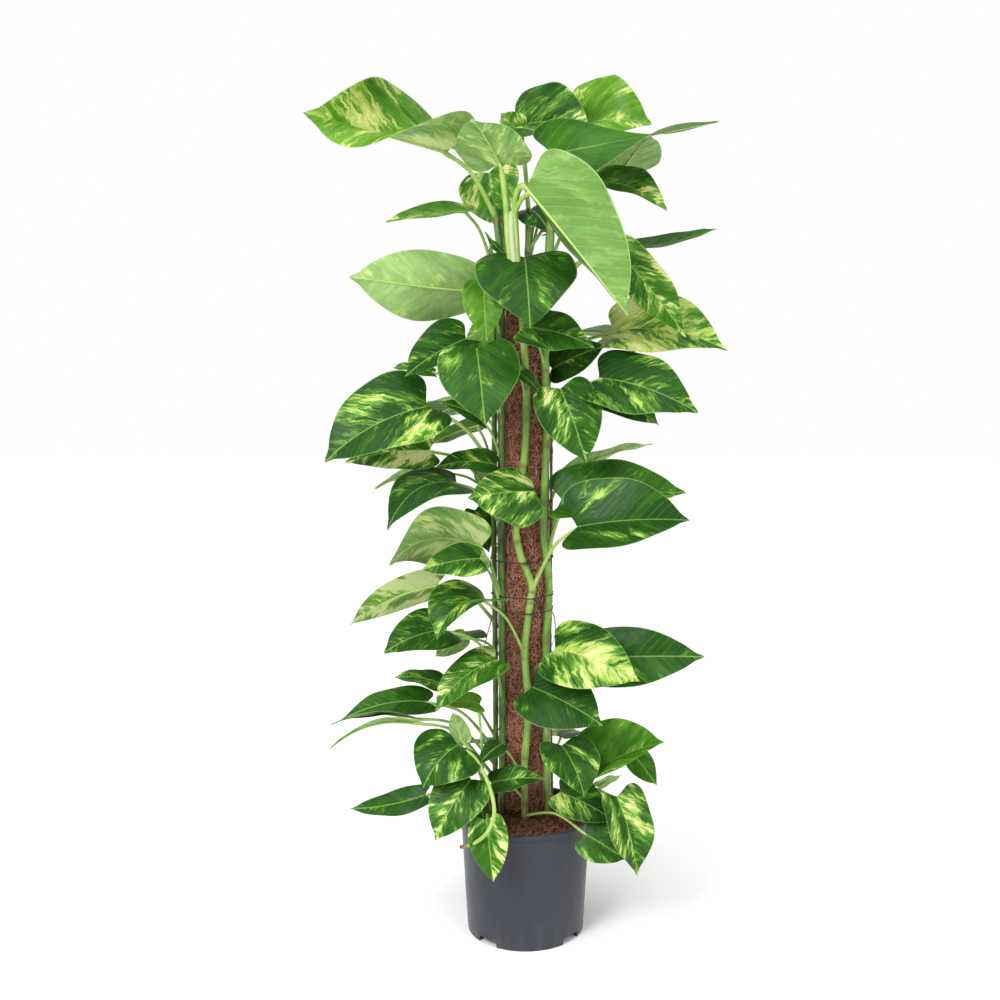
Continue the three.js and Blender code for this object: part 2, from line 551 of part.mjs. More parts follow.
const core = leaningTube(CORE_RADIUS, FLOOR_TOP + GAP, POLE_TOP + 4, 12, 1);
addNode("pole_core", core, 0x9a7a50, 0.8);
const bore = leaningTube(CORE_RADIUS + GAP, COIR_BOTTOM - 5, POLE_TOP + 5, 12, 1);
const coir = leaningTube(COIR_RADIUS, COIR_BOTTOM, POLE_TOP, 14, 12, COIR_LUMP).subtract(bore);
addNode("coir_sleeve", coir, 0x6e3c28, 0.95);

// The soil fills the pot, mounds up to the pole, and has a plain hole for the pole and for each stem.
const inside = (height) => outside(height) - WALL - GAP;
let soil = turned([
  [0, FLOOR_TOP + GAP],
  [inside(FLOOR_TOP + GAP), FLOOR_TOP + GAP],
  [inside(SOIL_EDGE), SOIL_EDGE],
  ...SOIL_SLOPE,
  [0, SOIL_CENTRE],
], POT_SEGMENTS);
const soilTop = SOIL_CENTRE + 5;
soil = soil.subtract(leaningTube(CORE_RADIUS + GAP, FLOOR_TOP, soilTop, 12, 1));
soil = soil.subtract(leaningTube(COIR_RADIUS + COIR_LUMP + GAP, COIR_BOTTOM - GAP, soilTop, 14, 1));
const planted = STEMS.map((stem) => [stemRoute(stem), stem.radius]);
planted.push([OLD_STEM, OLD_STEM_RADIUS]);
for (const [route, radius] of planted) {
  const hole = stemTube(route, radius + STEM_CLEARANCE);
  soil = soil.subtract(hole).subtract(hole.translate([0, 0, -GAP]));
}
addNode("soil", soil, 0x4a2a1c, 1);

export default group;
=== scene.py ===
# A variegated pothos climbing a coir pole in a nursery pot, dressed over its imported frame.
# Metres, +Z up, -Y the front. The plant's tables are in millimetres and are scaled as they are read.
import math

import bpy
import numpy as np
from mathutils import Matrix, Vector, noise


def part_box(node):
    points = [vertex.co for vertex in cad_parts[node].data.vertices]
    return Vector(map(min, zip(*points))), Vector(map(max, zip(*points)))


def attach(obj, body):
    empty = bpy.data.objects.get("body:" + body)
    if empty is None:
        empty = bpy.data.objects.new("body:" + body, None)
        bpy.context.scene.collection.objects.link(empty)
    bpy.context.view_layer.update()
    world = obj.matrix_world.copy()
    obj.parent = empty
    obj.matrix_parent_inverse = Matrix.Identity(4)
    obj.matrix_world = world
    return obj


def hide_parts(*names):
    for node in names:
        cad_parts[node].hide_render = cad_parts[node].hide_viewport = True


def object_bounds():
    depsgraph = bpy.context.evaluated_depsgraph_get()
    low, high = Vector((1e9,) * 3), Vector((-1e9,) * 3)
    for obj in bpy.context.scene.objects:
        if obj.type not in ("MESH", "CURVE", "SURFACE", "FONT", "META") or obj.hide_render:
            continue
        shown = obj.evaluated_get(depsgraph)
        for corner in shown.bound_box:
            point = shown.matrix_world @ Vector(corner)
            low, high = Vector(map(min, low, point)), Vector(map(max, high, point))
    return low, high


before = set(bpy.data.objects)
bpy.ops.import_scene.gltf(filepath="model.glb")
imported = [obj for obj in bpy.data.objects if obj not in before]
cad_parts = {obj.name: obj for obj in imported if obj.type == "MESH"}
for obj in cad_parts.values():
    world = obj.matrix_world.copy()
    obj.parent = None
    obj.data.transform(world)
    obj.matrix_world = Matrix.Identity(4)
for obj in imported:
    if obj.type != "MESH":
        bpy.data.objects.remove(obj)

MM = 0.001
cad_low, cad_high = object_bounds()

# ---- pot ----
# A nursery pot, injection-moulded in one piece of anthracite polypropylene. It has a rolled lip, a stiffer
# band under it, and a floor raised on a notched foot ring, with a centre foot and drain holes.
pot_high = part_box("pot")[1]
POT_HEIGHT = pot_high.z
RIM_RADIUS = pot_high.x
FOOT_RADIUS = 82 * MM
POT_WALL = 2 * MM
LIP_REACH = 4 * MM
LIP_ROUND = 1.4 * MM
EDGE_ROUND = 1.1 * MM
BAND_ROUND = 1.2 * MM
LIP_HEIGHT = 6 * MM
BAND_HEIGHT = 17 * MM
FLOOR_LEVEL = 10 * MM
FLOOR_THICKNESS = 2.2 * MM
FOOT_RING = 5 * MM
BOSS_RADIUS = 17 * MM
NOTCH_ANGLES = (-40, 50, 140, 230)
NOTCH_WIDTH = 30 * MM
DRAIN_RADIUS = 5 * MM
DRAIN_INSET = 12 * MM
DRAIN_SIDES = 24
POT_SEGMENTS = 160


def new_object(name, data):
    made = bpy.data.objects.new(name, data)
    bpy.context.scene.collection.objects.link(made)
    return made


def plain_mesh(name, points, faces, edges=()):
    mesh = bpy.data.meshes.new(name)
    mesh.from_pydata([tuple(p) for p in points], edges, [tuple(f) for f in faces])
    mesh.update()
    return new_object(name, mesh)


def shade(piece, edge_angle):
    piece.data.shade_smooth()
    piece.data.set_sharp_from_angle(angle=math.radians(edge_angle))


def lathe(name, profile, segments):
    """A body turned round Z from (radius, height) pairs that start and end on the axis."""
    ring = profile[1:-1]
    points = [(0, 0, profile[0][1]), (0, 0, profile[-1][1])]
    for i in range(segments):
        angle = math.tau * i / segments
        points += [(r * math.cos(angle), r * math.sin(angle), z) for r, z in ring]
    faces = []
    for i in range(segments):
        here = 2 + i * len(ring)
        there = 2 + (i + 1) % segments * len(ring)
        faces.append((0, there, here))
        faces += [(here + k, there + k, there + k + 1, here + k + 1) for k in range(len(ring) - 1)]
        faces.append((1, here + len(ring) - 1, there + len(ring) - 1))
    return plain_mesh(name, points, faces)


def keep_result(piece):
    """Turns a piece with modifiers into a plain mesh."""
    graph = bpy.context.evaluated_depsgraph_get()
    mesh = bpy.data.meshes.new_from_object(piece.evaluated_get(graph))
    piece.modifiers.clear()
    piece.data = mesh
    return piece


def cut(piece, cutter):
    boolean = piece.modifiers.new("cut", "BOOLEAN")
    boolean.object = cutter
    boolean.operation = "DIFFERENCE"
    boolean.solver = "EXACT"
    keep_result(piece)
    bpy.data.objects.remove(cutter)


def wall_radius(height):
    return FOOT_RADIUS + (RIM_RADIUS - LIP_REACH - FOOT_RADIUS) * height / POT_HEIGHT


def rounded(centre, radius, start, stop, steps=6):
    """Points of an arc, from one angle to another, in degrees."""
    turns = [math.radians(start + (stop - start) * i / steps) for i in range(steps + 1)]
    return [(centre[0] + radius * math.cos(t), centre[1] + radius * math.sin(t)) for t in turns]


def pot_profile():
    lip_low = POT_HEIGHT - LIP_HEIGHT
    band_low = lip_low - BAND_HEIGHT
    floor_top = FLOOR_LEVEL + FLOOR_THICKNESS
    edge = EDGE_ROUND
    inner = FOOT_RADIUS - FOOT_RING
    mouth = wall_radius(POT_HEIGHT) - POT_WALL
    return [
        (0, 0),
        *rounded((BOSS_RADIUS - edge, edge), edge, -90, 0),
        (BOSS_RADIUS, FLOOR_LEVEL),
        (inner, FLOOR_LEVEL),
        (inner, edge),
        *rounded((FOOT_RADIUS - edge, edge), edge, -90, 0),
        (wall_radius(band_low), band_low),
        *rounded((wall_radius(band_low), band_low + LIP_ROUND), BAND_ROUND, -70, 0),
        (wall_radius(lip_low) + BAND_ROUND, lip_low - 0.5 * MM),
        *rounded((RIM_RADIUS - edge, lip_low + edge), edge, -90, 0),
        *rounded((RIM_RADIUS - LIP_ROUND, POT_HEIGHT - LIP_ROUND), LIP_ROUND, 0, 90),
        (mouth + 0.8 * MM, POT_HEIGHT),
        (mouth, POT_HEIGHT - 0.9 * MM),
        (wall_radius(floor_top) - POT_WALL, floor_top),
        (0, floor_top),
    ]


def prism_faces(first, sides):
    """The faces of a solid between two rings of points, that start at the first one."""
    faces = [tuple(first + k for k in reversed(range(sides)))]
    faces.append(tuple(first + sides + k for k in range(sides)))
    for k in range(sides):
        near, far = first + k, first + (k + 1) % sides
        faces.append((near, far, far + sides, near + sides))
    return faces


def pot_cutter():
    """A tapered block for each notch in the foot, and a round plug for each drain hole."""
    points, faces = [], []
    for angle in NOTCH_ANGLES:
        turn = math.radians(angle)
        out = Vector((math.sin(turn), -math.cos(turn), 0))
        side = Vector((math.cos(turn), math.sin(turn), 0))
        faces += prism_faces(len(points), 4)
        for depth in (-1.5, 1.5):
            for across, height in ((-0.56, -1), (0.56, -1), (0.5, 0.92), (-0.5, 0.92)):
                place = out * (FOOT_RADIUS + depth * FOOT_RING) + side * across * NOTCH_WIDTH
                points.append(place + Vector((0, 0, height * FLOOR_LEVEL)))
        middle = out * (FOOT_RADIUS - DRAIN_INSET)
        faces += prism_faces(len(points), DRAIN_SIDES)
        for height in (FLOOR_LEVEL / 2, 2 * FLOOR_LEVEL):
            for k in range(DRAIN_SIDES):
                spot = math.tau * k / DRAIN_SIDES
                reach = Vector((math.cos(spot), math.sin(spot), 0)) * DRAIN_RADIUS
                points.append(middle + reach + Vector((0, 0, height)))
    return plain_mesh("pot_cutter", points, faces)


def new_finish(name, color, roughness, specular):
    """A material, its shader, and each point's place on the object, which its patterns follow."""
    finish = bpy.data.materials.new(name)
    finish.use_nodes = True
    shader = finish.node_tree.nodes["Principled BSDF"]
    shader.inputs["Base Color"].default_value = (*color, 1)
    shader.inputs["Roughness"].default_value = roughness
    shader.inputs["Specular IOR Level"].default_value = specular
    place = add_node(finish.node_tree, "ShaderNodeTexCoord").outputs["Object"]
    return finish, shader, place


def add_node(tree, kind, inputs=None, **settings):
    made = tree.nodes.new(kind)
    for key, value in settings.items():
        setattr(made, key, value)
    for key, value in (inputs or {}).items():
        if isinstance(value, bpy.types.NodeSocket):
            tree.links.new(value, made.inputs[key])
        else:
            made.inputs[key].default_value = value
    return made


def noise_at(vector, scale, detail=3, roughness=0.55):
    inputs = {"Vector": vector, "Scale": scale, "Detail": detail, "Roughness": roughness}
    return add_node(vector.id_data, "ShaderNodeTexNoise", inputs).outputs["Fac"]


def span(value, low, high, to_low=0.0, to_high=1.0):
    inputs = {"Value": value, "From Min": low, "From Max": high, "To Min": to_low, "To Max": to_high}
    return add_node(value.id_data, "ShaderNodeMapRange", inputs).outputs["Result"]


def blend_color(share, first, second):
    """Mixes two colours; each is a triple or a socket."""
    mix = add_node(share.id_data, "ShaderNodeMix", {0: share}, data_type="RGBA")
    for index, color in ((6, first), (7, second)):
        if isinstance(color, bpy.types.NodeSocket):
            share.id_data.links.new(color, mix.inputs[index])
        else:
            mix.inputs[index].default_value = (*color, 1)
    return mix.outputs[2]


def toned(pattern, low, high, first, second, share=1.0):
    """The first colour, with the second where the pattern is over its limits."""
    return blend_color(span(pattern, low, high, 0.0, share), first, second)


def number(operation, first, second=0.0, third=0.0):
    inputs = {0: first, 1: second, 2: third}
    return add_node(first.id_data, "ShaderNodeMath", inputs, operation=operation).outputs[0]


def bump(shader, height, strength, distance):
    inputs = {"Height": height, "Strength": strength, "Distance": distance}
    made = add_node(shader.id_data, "ShaderNodeBump", inputs)
    shader.id_data.links.new(made.outputs["Normal"], shader.inputs["Normal"])


def stretched(vector, scale):
    inputs = {"Vector": vector, "Scale": scale}
    return add_node(vector.id_data, "ShaderNodeMapping", inputs).outputs["Vector"]


def paint(shader, tone, roughness=None):
    shader.id_data.links.new(tone, shader.inputs["Base Color"])
    if roughness is not None:
        shader.id_data.links.new(roughness, shader.inputs["Roughness"])


def pot_plastic():
    finish, shader, place = new_finish("anthracite_polypropylene", (0.034, 0.037, 0.047), 0.42, 0.28)
    shader.inputs["Sheen Weight"].default_value = 0.22
    shader.inputs["Sheen Roughness"].default_value = 0.35
    cloud = noise_at(place, 9, 4)
    grain = noise_at(place, 900, 2)
    scuff = noise_at(stretched(place, (1, 1, 0.15)), 60, 5, 0.7)
    low = add_node(place.id_data, "ShaderNodeSeparateXYZ", {"Vector": place}).outputs["Z"]
    tone = toned(cloud, 0.3, 0.7, (0.026, 0.028, 0.038), (0.038, 0.041, 0.053))
    dusty = number("MULTIPLY", span(low, 0.05, 0.0), span(scuff, 0.45, 0.75))
    tone = blend_color(number("MULTIPLY", dusty, 0.35), tone, (0.2, 0.17, 0.14))
    paint(shader, tone, span(scuff, 0.3, 0.75, 0.36, 0.58))
    bump(shader, grain, 0.12, 0.0004)
    return finish


pot = lathe("pot_shell", pot_profile(), POT_SEGMENTS)
cut(pot, pot_cutter())
pot.data.materials.append(pot_plastic())
shade(pot, 30)
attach(pot, "root")
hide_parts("pot")

# ---- soil ----
# Moist coir and peat, filled in loose almost to the rim and mounded up to the pole. Crumbs, chips and short
# fibres lie on it where it was pressed down by hand.
SOIL_EDGE = 160 * MM
SOIL_CENTRE = 176 * MM
SOIL_GAP = 0.4 * MM
SOIL_UNDERLAP = 2 * MM
SOIL_ROUGH = 2.2 * MM
MOUND_RADIUS = 44 * MM
CRUMB_COVER = 3 * MM
SOIL_FLOOR = FLOOR_LEVEL + FLOOR_THICKNESS + SOIL_GAP
SLEEVE_RADIUS = 26.5 * MM
CRUMB_DENSITY = 38000
CRUMB_SIZE = 4.4 * MM


def soil_height(radius):
    rise = SOIL_CENTRE - SOIL_EDGE - CRUMB_COVER
    share = min(1, max(0, (radius - MOUND_RADIUS) / (wall_radius(SOIL_EDGE) - MOUND_RADIUS)))
    return SOIL_CENTRE - CRUMB_COVER - rise * share**0.8


def ring_quads(rings, sides):
    """Faces between rings of points that follow each other."""
    quads = []
    for ring in range(rings):
        for side in range(sides):
            near = ring * sides + side
            far = ring * sides + (side + 1) % sides
            quads.append((near, near + sides, far + sides, far))
    return quads


def soil_body():
    sides, rings = 120, 26
    outer = wall_radius(SOIL_EDGE) - POT_WALL - SOIL_GAP
    points = []
    for ring in range(rings + 1):
        radius = SLEEVE_RADIUS - SOIL_UNDERLAP
        radius += (outer - SLEEVE_RADIUS + SOIL_UNDERLAP) * ring / rings
        for side in range(sides):
            angle = math.tau * side / sides
            x, y = radius * math.cos(angle), radius * math.sin(angle)
            rough = noise.fractal(Vector((x, y, 0.3)) * 70, 0.8, 2.1, 4)
            calm = 0.4 if ring == rings else 1
            points.append((x, y, soil_height(radius) + SOIL_ROUGH * rough * calm))
    first = len(points)
    inner = wall_radius(SOIL_FLOOR) - POT_WALL - SOIL_GAP
    for side in range(sides):
        angle = math.tau * side / sides
        points.append((inner * math.cos(angle), inner * math.sin(angle), SOIL_FLOOR))
    faces = ring_quads(rings + 1, sides)
    faces.append(tuple(first + side for side in range(sides)))
    return plain_mesh("soil_bed", points, faces)


def skin_of(piece, name, on_skin):
    """A mesh of those faces of a piece that something lies on."""
    points = [vertex.co for vertex in piece.data.vertices]
    return plain_mesh(name, points, [f.vertices for f in piece.data.polygons if on_skin(f)])


def new_tree(name, **numbers):
    """A geometry tree with a mesh in and out, named numbers and a material."""
    tree = bpy.data.node_groups.new(name, "GeometryNodeTree")
    face = tree.interface
    for key, kind in {"Geometry": "Geometry", **numbers, "Material": "Material"}.items():
        face.new_socket(key, in_out="INPUT", socket_type=f"NodeSocket{kind}")
    face.new_socket("Geometry", in_out="OUTPUT", socket_type="NodeSocketGeometry")
    return tree, tree.nodes.new("NodeGroupInput").outputs


def finish_geometry(tree, geometry, material):
    realized = add_node(tree, "GeometryNodeRealizeInstances", {"Geometry": geometry}).outputs[0]
    painted = add_node(tree, "GeometryNodeSetMaterial", {"Geometry": realized, "Material": material})
    out = tree.nodes.new("NodeGroupOutput")
    tree.links.new(painted.outputs[0], out.inputs[0])


def random_spots(tree, given):
    inputs = {"Mesh": given["Geometry"], "Density": given["Density"], "Seed": given["Seed"]}
    return add_node(tree, "GeometryNodeDistributePointsOnFaces", inputs).outputs


def set_copies(tree, given, spots, shape, rotation, size, least, most):
    """A copy of a shape at each spot, at a random share of its size."""
    share = add_node(tree, "FunctionNodeRandomValue", {2: least, 3: most, "Seed": given["Seed"]})
    size = number("MULTIPLY", share.outputs[1], size)
    inputs = {"Points": spots["Points"], "Instance": shape, "Rotation": rotation, "Scale": size}
    copies = add_node(tree, "GeometryNodeInstanceOnPoints", inputs)
    finish_geometry(tree, copies.outputs[0], given["Material"])


def run_tree(piece, tree, **values):
    modifier = piece.modifiers.new(tree.name, "NODES")
    modifier.node_group = tree
    for item in tree.interface.items_tree:
        if item.in_out == "INPUT" and item.name in values:
            modifier[item.identifier] = values[item.name]
    return keep_result(piece)


def crumb_tree():
    """Lumps of random size and turn on a surface."""
    tree, given = new_tree("scattered_crumbs", Density="Float", Size="Float", Seed="Int")
    spots = random_spots(tree, given)
    lump = add_node(tree, "GeometryNodeMeshIcoSphere", {"Radius": 0.5, "Subdivisions": 2}).outputs[0]
    jitter = add_node(tree, "ShaderNodeTexNoise", {"Scale": 2.3, "Detail": 2.0}).outputs["Color"]
    push = add_node(tree, "ShaderNodeVectorMath", {0: jitter, 1: (0.5, 0.5, 0.5)}, operation="SUBTRACT")
    uneven = add_node(tree, "GeometryNodeSetPosition", {"Geometry": lump, "Offset": push.outputs[0]})
    turn = add_node(tree, "FunctionNodeRandomValue", {"Seed": given["Seed"]}, data_type="FLOAT_VECTOR")
    turn.inputs[1].default_value = (math.tau, math.tau, math.tau)
    set_copies(tree, given, spots, uneven.outputs[0], turn.outputs[0], given["Size"], 0.35, 1.0)
    return tree


def soil_finish():
    finish, shader, place = new_finish("moist_coir_peat", (0.05, 0.02, 0.011), 0.95, 0.25)
    crumbs = noise_at(place, 160, 6, 0.7)
    chips = noise_at(stretched(place, (1, 1, 2.4)), 420, 3)
    tone = toned(crumbs, 0.38, 0.62, (0.016, 0.007, 0.004), (0.2, 0.08, 0.042))
    paint(shader, toned(chips, 0.6, 0.7, tone, (0.34, 0.18, 0.1)))
    bump(shader, crumbs, 0.9, 0.002)
    return finish


peat = soil_finish()
soil = soil_body()
soil.data.materials.append(peat)
shade(soil, 60)
crumbs = skin_of(soil, "soil_crumbs", lambda face: face.normal.z > 0.3)
run_tree(crumbs, crumb_tree(), Density=CRUMB_DENSITY, Size=CRUMB_SIZE, Seed=4, Material=peat)
shade(crumbs, 50)
for piece in (soil, crumbs):
    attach(piece, "root")
    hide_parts("soil")

# ---- pole core ----
# A round softwood stake, sawn to length, that stands on the pot's floor and carries the sleeve. Its end
# grain shows at the top.
def two_tone(name, base, roughness, specular, grain, limits, tones, stretch=(1, 1, 1), relief=None):
    """A finish of two tones that one noise mixes, and that the same noise can give a relief."""
    finish, shader, place = new_finish(name, base, roughness, specular)
    pattern = noise_at(stretched(place, stretch), *grain)
    paint(shader, toned(pattern, *limits, *tones))
    if relief:
        bump(shader, pattern, *relief)
    return finish


stake_wood = two_tone(
    "softwood_stake",
    (0.42, 0.29, 0.16),
    roughness=0.8,
    specular=0.3,
    grain=(6, 4, 0.6),
    stretch=(60, 60, 3),
    limits=(0.3, 0.7),
    tones=((0.22, 0.13, 0.065), (0.5, 0.36, 0.2)),
    relief=(0.4, 0.0006),
)
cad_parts["pole_core"].material_slots[0].material = stake_wood

# ---- coir sleeve ----
# Coconut fibre, matted and latexed round the stake into a rough brown sleeve. Loose fibres stand a little
# proud of it all over.
POLE_TOP = 926 * MM
POLE_LEAN = 0.006
SLEEVE_BOTTOM = 120 * MM
SLEEVE_LUMP = 0.9 * MM
FIBRE_DENSITY = 38000
FIBRE_LENGTH = 26 * MM
FIBRE_RADIUS = 0.42 * MM


def pole_x(height):
    return POLE_LEAN * (height - 500 * MM)


def sleeve_body():
    sides, rings = 72, 250
    points = []
    for ring in range(rings + 1):
        height = SLEEVE_BOTTOM + (POLE_TOP - SLEEVE_BOTTOM) * ring / rings
        for side in range(sides):
            angle = math.tau * side / sides
            out = Vector((math.cos(angle), math.sin(angle), 0))
            spot = out * SLEEVE_RADIUS + Vector((0, 0, height))
            swell = noise.fractal(spot * 45, 0.9, 2.0, 5)
            worn = 1 - 0.04 * max(0, ring - rings + 4)
            reach = (SLEEVE_RADIUS + SLEEVE_LUMP * swell) * worn
            points.append((pole_x(height) + reach * out.x, reach * out.y, height))
    faces = [(near, far, high, low) for near, low, high, far in ring_quads(rings, sides)]
    faces.append(tuple(reversed(range(sides))))
    top = rings * sides
    hub = len(points)
    points.append((pole_x(POLE_TOP), 0, POLE_TOP - 1 * MM))
    faces += [(top + side, top + (side + 1) % sides, hub) for side in range(sides)]
    return plain_mesh("coir_sleeve_mat", points, faces)


def fibre_tree():
    """Short bent fibres that lie every way on a surface, a little sunk at both ends."""
    tree, given = new_tree("matted_fibres", Density="Float", Length="Float", Radius="Float", Seed="Int")
    spots = random_spots(tree, given)
    bend = {"Start": (-0.5, -0.2, -0.06), "Middle": (0.2, 0.9, 0.2), "End": (0.4, -0.4, -0.05)}
    arc = add_node(tree, "GeometryNodeCurveQuadraticBezier", {"Resolution": 5, **bend}).outputs[0]
    thin = number("DIVIDE", given["Radius"], given["Length"])
    rim = add_node(tree, "GeometryNodeCurvePrimitiveCircle", {"Resolution": 3, "Radius": thin}).outputs[0]
    strand = add_node(tree, "GeometryNodeCurveToMesh", {"Curve": arc, "Profile Curve": rim}).outputs[0]
    spin = add_node(tree, "FunctionNodeRandomValue", {2: 0.0, 3: math.tau, "Seed": given["Seed"]})
    axis = add_node(tree, "ShaderNodeCombineXYZ", {"Z": spin.outputs[1]}).outputs[0]
    turn = {"Rotation": spots["Rotation"], "Rotate By": axis}
    turned = add_node(tree, "FunctionNodeRotateRotation", turn, rotation_space="LOCAL").outputs[0]
    set_copies(tree, given, spots, strand, turned, given["Length"], 0.4, 1.25)
    return tree


def coir_finish(name, dark, light, depth):
    finish, shader, place = new_finish(name, dark, 0.9, 0.2)
    strands = noise_at(stretched(place, (2.2, 2.2, 0.7)), 190, 6, 0.75)
    damp = noise_at(place, 14, 3)
    tone = toned(strands, 0.35, 0.68, dark, light)
    paint(shader, toned(damp, 0.45, 0.7, tone, dark, 0.35))
    bump(shader, strands, 0.9, depth)
    return finish


sleeve = sleeve_body()
sleeve.data.materials.append(coir_finish("matted_coir", (0.045, 0.015, 0.008), (0.26, 0.11, 0.06), 0.0016))
shade(sleeve, 70)
fibres = skin_of(sleeve, "coir_fibres", lambda face: len(face.vertices) == 4)
strand = coir_finish("coir_strand", (0.2, 0.07, 0.042), (0.95, 0.5, 0.34), 0.0002)
sizes = {"Density": FIBRE_DENSITY, "Length": FIBRE_LENGTH, "Radius": FIBRE_RADIUS}
run_tree(fibres, fibre_tree(), **sizes, Seed=11, Material=strand)
for piece in (sleeve, fibres):
    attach(piece, "root")
    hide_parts("coir_sleeve")

# ---- stems and leaves ----
# Seven stems climb the pole and two shoots stand in the soil. Each is a knotty green vine with a stalk from
# every joint to a heart-shaped, waxy, cream-marbled blade, all of it living tissue grown from one root.
# A leaf gives its joint's height, where its blade begins and ends, the way it faces, its width and arch as
# shares of its length, its fold in degrees, its looks and, where it twists, the way its tip faces. The looks
# are how light its green is, its streaks and its cream, in percent. A runner gives its tint, the share of
# its length where its brown end begins, and its route.
STEMS = {}
STEMS["stem_left"] = dict(radius=5, foot=(-33, -17), tint=0.1, route=[
    (-32, -16, 260), (-32, -15, 400), (-33, -15, 540), (-32, -17, 680), (-32, -16, 820), (-34, -14, 950),
    (-40, -12, 1000),
], leaves=[
    (985, (-101, -12, 1068), (-276, -76, 1108), (0, 0, 1), 0.95, 0, 38, (60, 85, 30), (0, -0.85, -0.14)),
    (825, (-54, -42, 900), (-49, -72, 826), (-0.1, -0.9, 0.35), 0.7, 0.08, 8, (60, 30, 20)),
    (725, (-62, -70, 816), (-50, -130, 724), (0, -0.8, 0.55), 0.96, 0.06, 8, (15, 12, 40)),
    (640, (-128, -62, 742), (-255, -100, 674), (-0.15, -0.75, 0.65), 0.88, 0.12, 18, (0, 50, 45)),
    (665, (-56, -34, 721), (-112, -52, 746), (0, -0.7, 0.7), 0.55, 0.1, 20, (10, 12, 10)),
    (600, (-40, -32, 663), (-121, -56, 661), (0, -0.7, 0.7), 0.5, 0.12, 15, (10, 25, 20)),
    (580, (-90, -60, 642), (-176, -106, 587), (-0.45, -0.62, 0.65), 0.8, 0.25, 10, (0, 12, 0),
     (-1, -0.75, 0)),
    (475, (-58, -42, 554), (-178, -78, 536), (0, 0.8, 0.6), 0.95, 0.26, 8, (65, 75, 60)),
    (460, (-60, -72, 544), (-135, -100, 534), (0, -0.8, 0.6), 0.62, 0.1, 5, (15, 45, 30)),
    (375, (-106, -42, 440), (-186, -85, 420), (-0.3, -0.7, 0.65), 0.85, 0.12, 16, (8, 20, 20)),
    (335, (-40, -52, 402), (-120, -90, 341), (-0.4, -0.7, 0.6), 0.58, 0.16, 10, (30, 40, 95)),
])
STEMS["stem_left_rear"] = dict(radius=3.6, foot=(-44, 7), tint=0.3, route=[
    (-42, 6, 260), (-42, 5, 420), (-43, 6, 560), (-42, 5, 700), (-43, 4, 840), (-46, 6, 950),
], leaves=[
    (845, (-76, -16, 892), (-228, -45, 908), (0, 0.7, 0.7), 0.72, -0.02, 6, (75, 40, 50), (0, 1, 0.15)),
    (930, (-75, -10, 993), (-182, -22, 978), (0, -0.3, 0.95), 0.5, 0.04, 15, (60, 60, 60), (0, -0.6, 0.8)),
    (760, (-78, -28, 828), (-155, -60, 781), (0, -0.75, 0.65), 0.8, 0.08, 25, (5, 20, 20)),
    (615, (-127, -35, 682), (-235, -63, 669), (0, -0.8, 0.6), 0.53, 0.1, 5, (25, 60, 95)),
    (640, (-62, -5, 714), (-133, -20, 685), (0, 0.6, 0.75), 0.5, 0.05, 10, (45, 15, 20)),
    (440, (-117, -38, 502), (-233, -85, 455), (-0.1, 0.75, 0.6), 0.54, 0.09, 8, (50, 95, 90)),
    (275, (-110, -20, 357), (-179, -40, 374), (0, -0.5, 0.87), 0.5, 0.1, 8, (25, 30, 50)),
    (255, (-133, -35, 338), (-249, -62, 320), (0, -0.55, 0.83), 0.42, 0.13, 10, (15, 15, 20)),
    (235, (-148, -60, 322), (-258, -92, 324), (0, 0.3, 0.95), 0.38, 0.1, 10, (60, 20, 30)),
    (215, (-150, -80, 324), (-256, -117, 299), (0, 0.4, 0.9), 0.36, 0.12, 15, (60, 30, 40)),
])
STEMS["stem_rear_left"] = dict(radius=4.2, foot=(-25, 31), tint=0.3, route=[
    (-23, 28, 300), (-25, 27, 500), (-22, 29, 700), (-24, 28, 880), (-30, 26, 990),
], leaves=[
    (975, (-84, 50, 1076), (-158, 66, 1092), (0, 0.1, 1), 0.45, 0.06, 10, (80, 40, 60)),
    (950, (-48, 28, 1046), (-31, -3, 972), (-0.35, -0.85, 0.2), 1.08, 0.1, 15, (45, 65, 70)),
    (790, (-44, 26, 846), (-80, 20, 800), (-0.2, -0.9, 0.3), 0.8, 0.04, 5, (75, 60, 50)),
    (715, (-125, 25, 782), (-179, 12, 789), (0, -0.6, 0.8), 0.5, 0.08, 8, (30, 20, 30)),
    (590, (-128, 10, 648), (-204, -8, 627), (0, 0.5, 0.85), 0.45, 0.08, 8, (80, 30, 50)),
    (530, (-70, 32, 592), (-50, 20, 534), (0.2, -0.95, 0.1), 0.6, 0.06, 5, (40, 20, 30)),
    (370, (-84, -8, 422), (-124, -22, 397), (-0.2, 0.8, 0.4), 0.8, 0.05, 5, (60, 25, 30)),
    (830, (-65, 70, 905), (-150, 140, 880), (-0.3, 0.3, 0.9), 0.65, 0.1, 10, (20, 40, 50)),
    (660, (-75, 75, 735), (-150, 150, 690), (-0.3, 0.6, 0.7), 0.68, 0.12, 10, (15, 30, 40)),
    (500, (-70, 75, 570), (-140, 140, 540), (-0.4, 0.4, 0.8), 0.65, 0.12, 8, (30, 50, 60)),
    (330, (-75, 70, 400), (-140, 130, 380), (-0.3, 0.4, 0.85), 0.66, 0.1, 10, (15, 25, 40)),
    (180, (-45, 80, 240), (-110, 145, 200), (-0.3, 0.5, 0.8), 0.7, 0.12, 8, (40, 40, 40)),
])
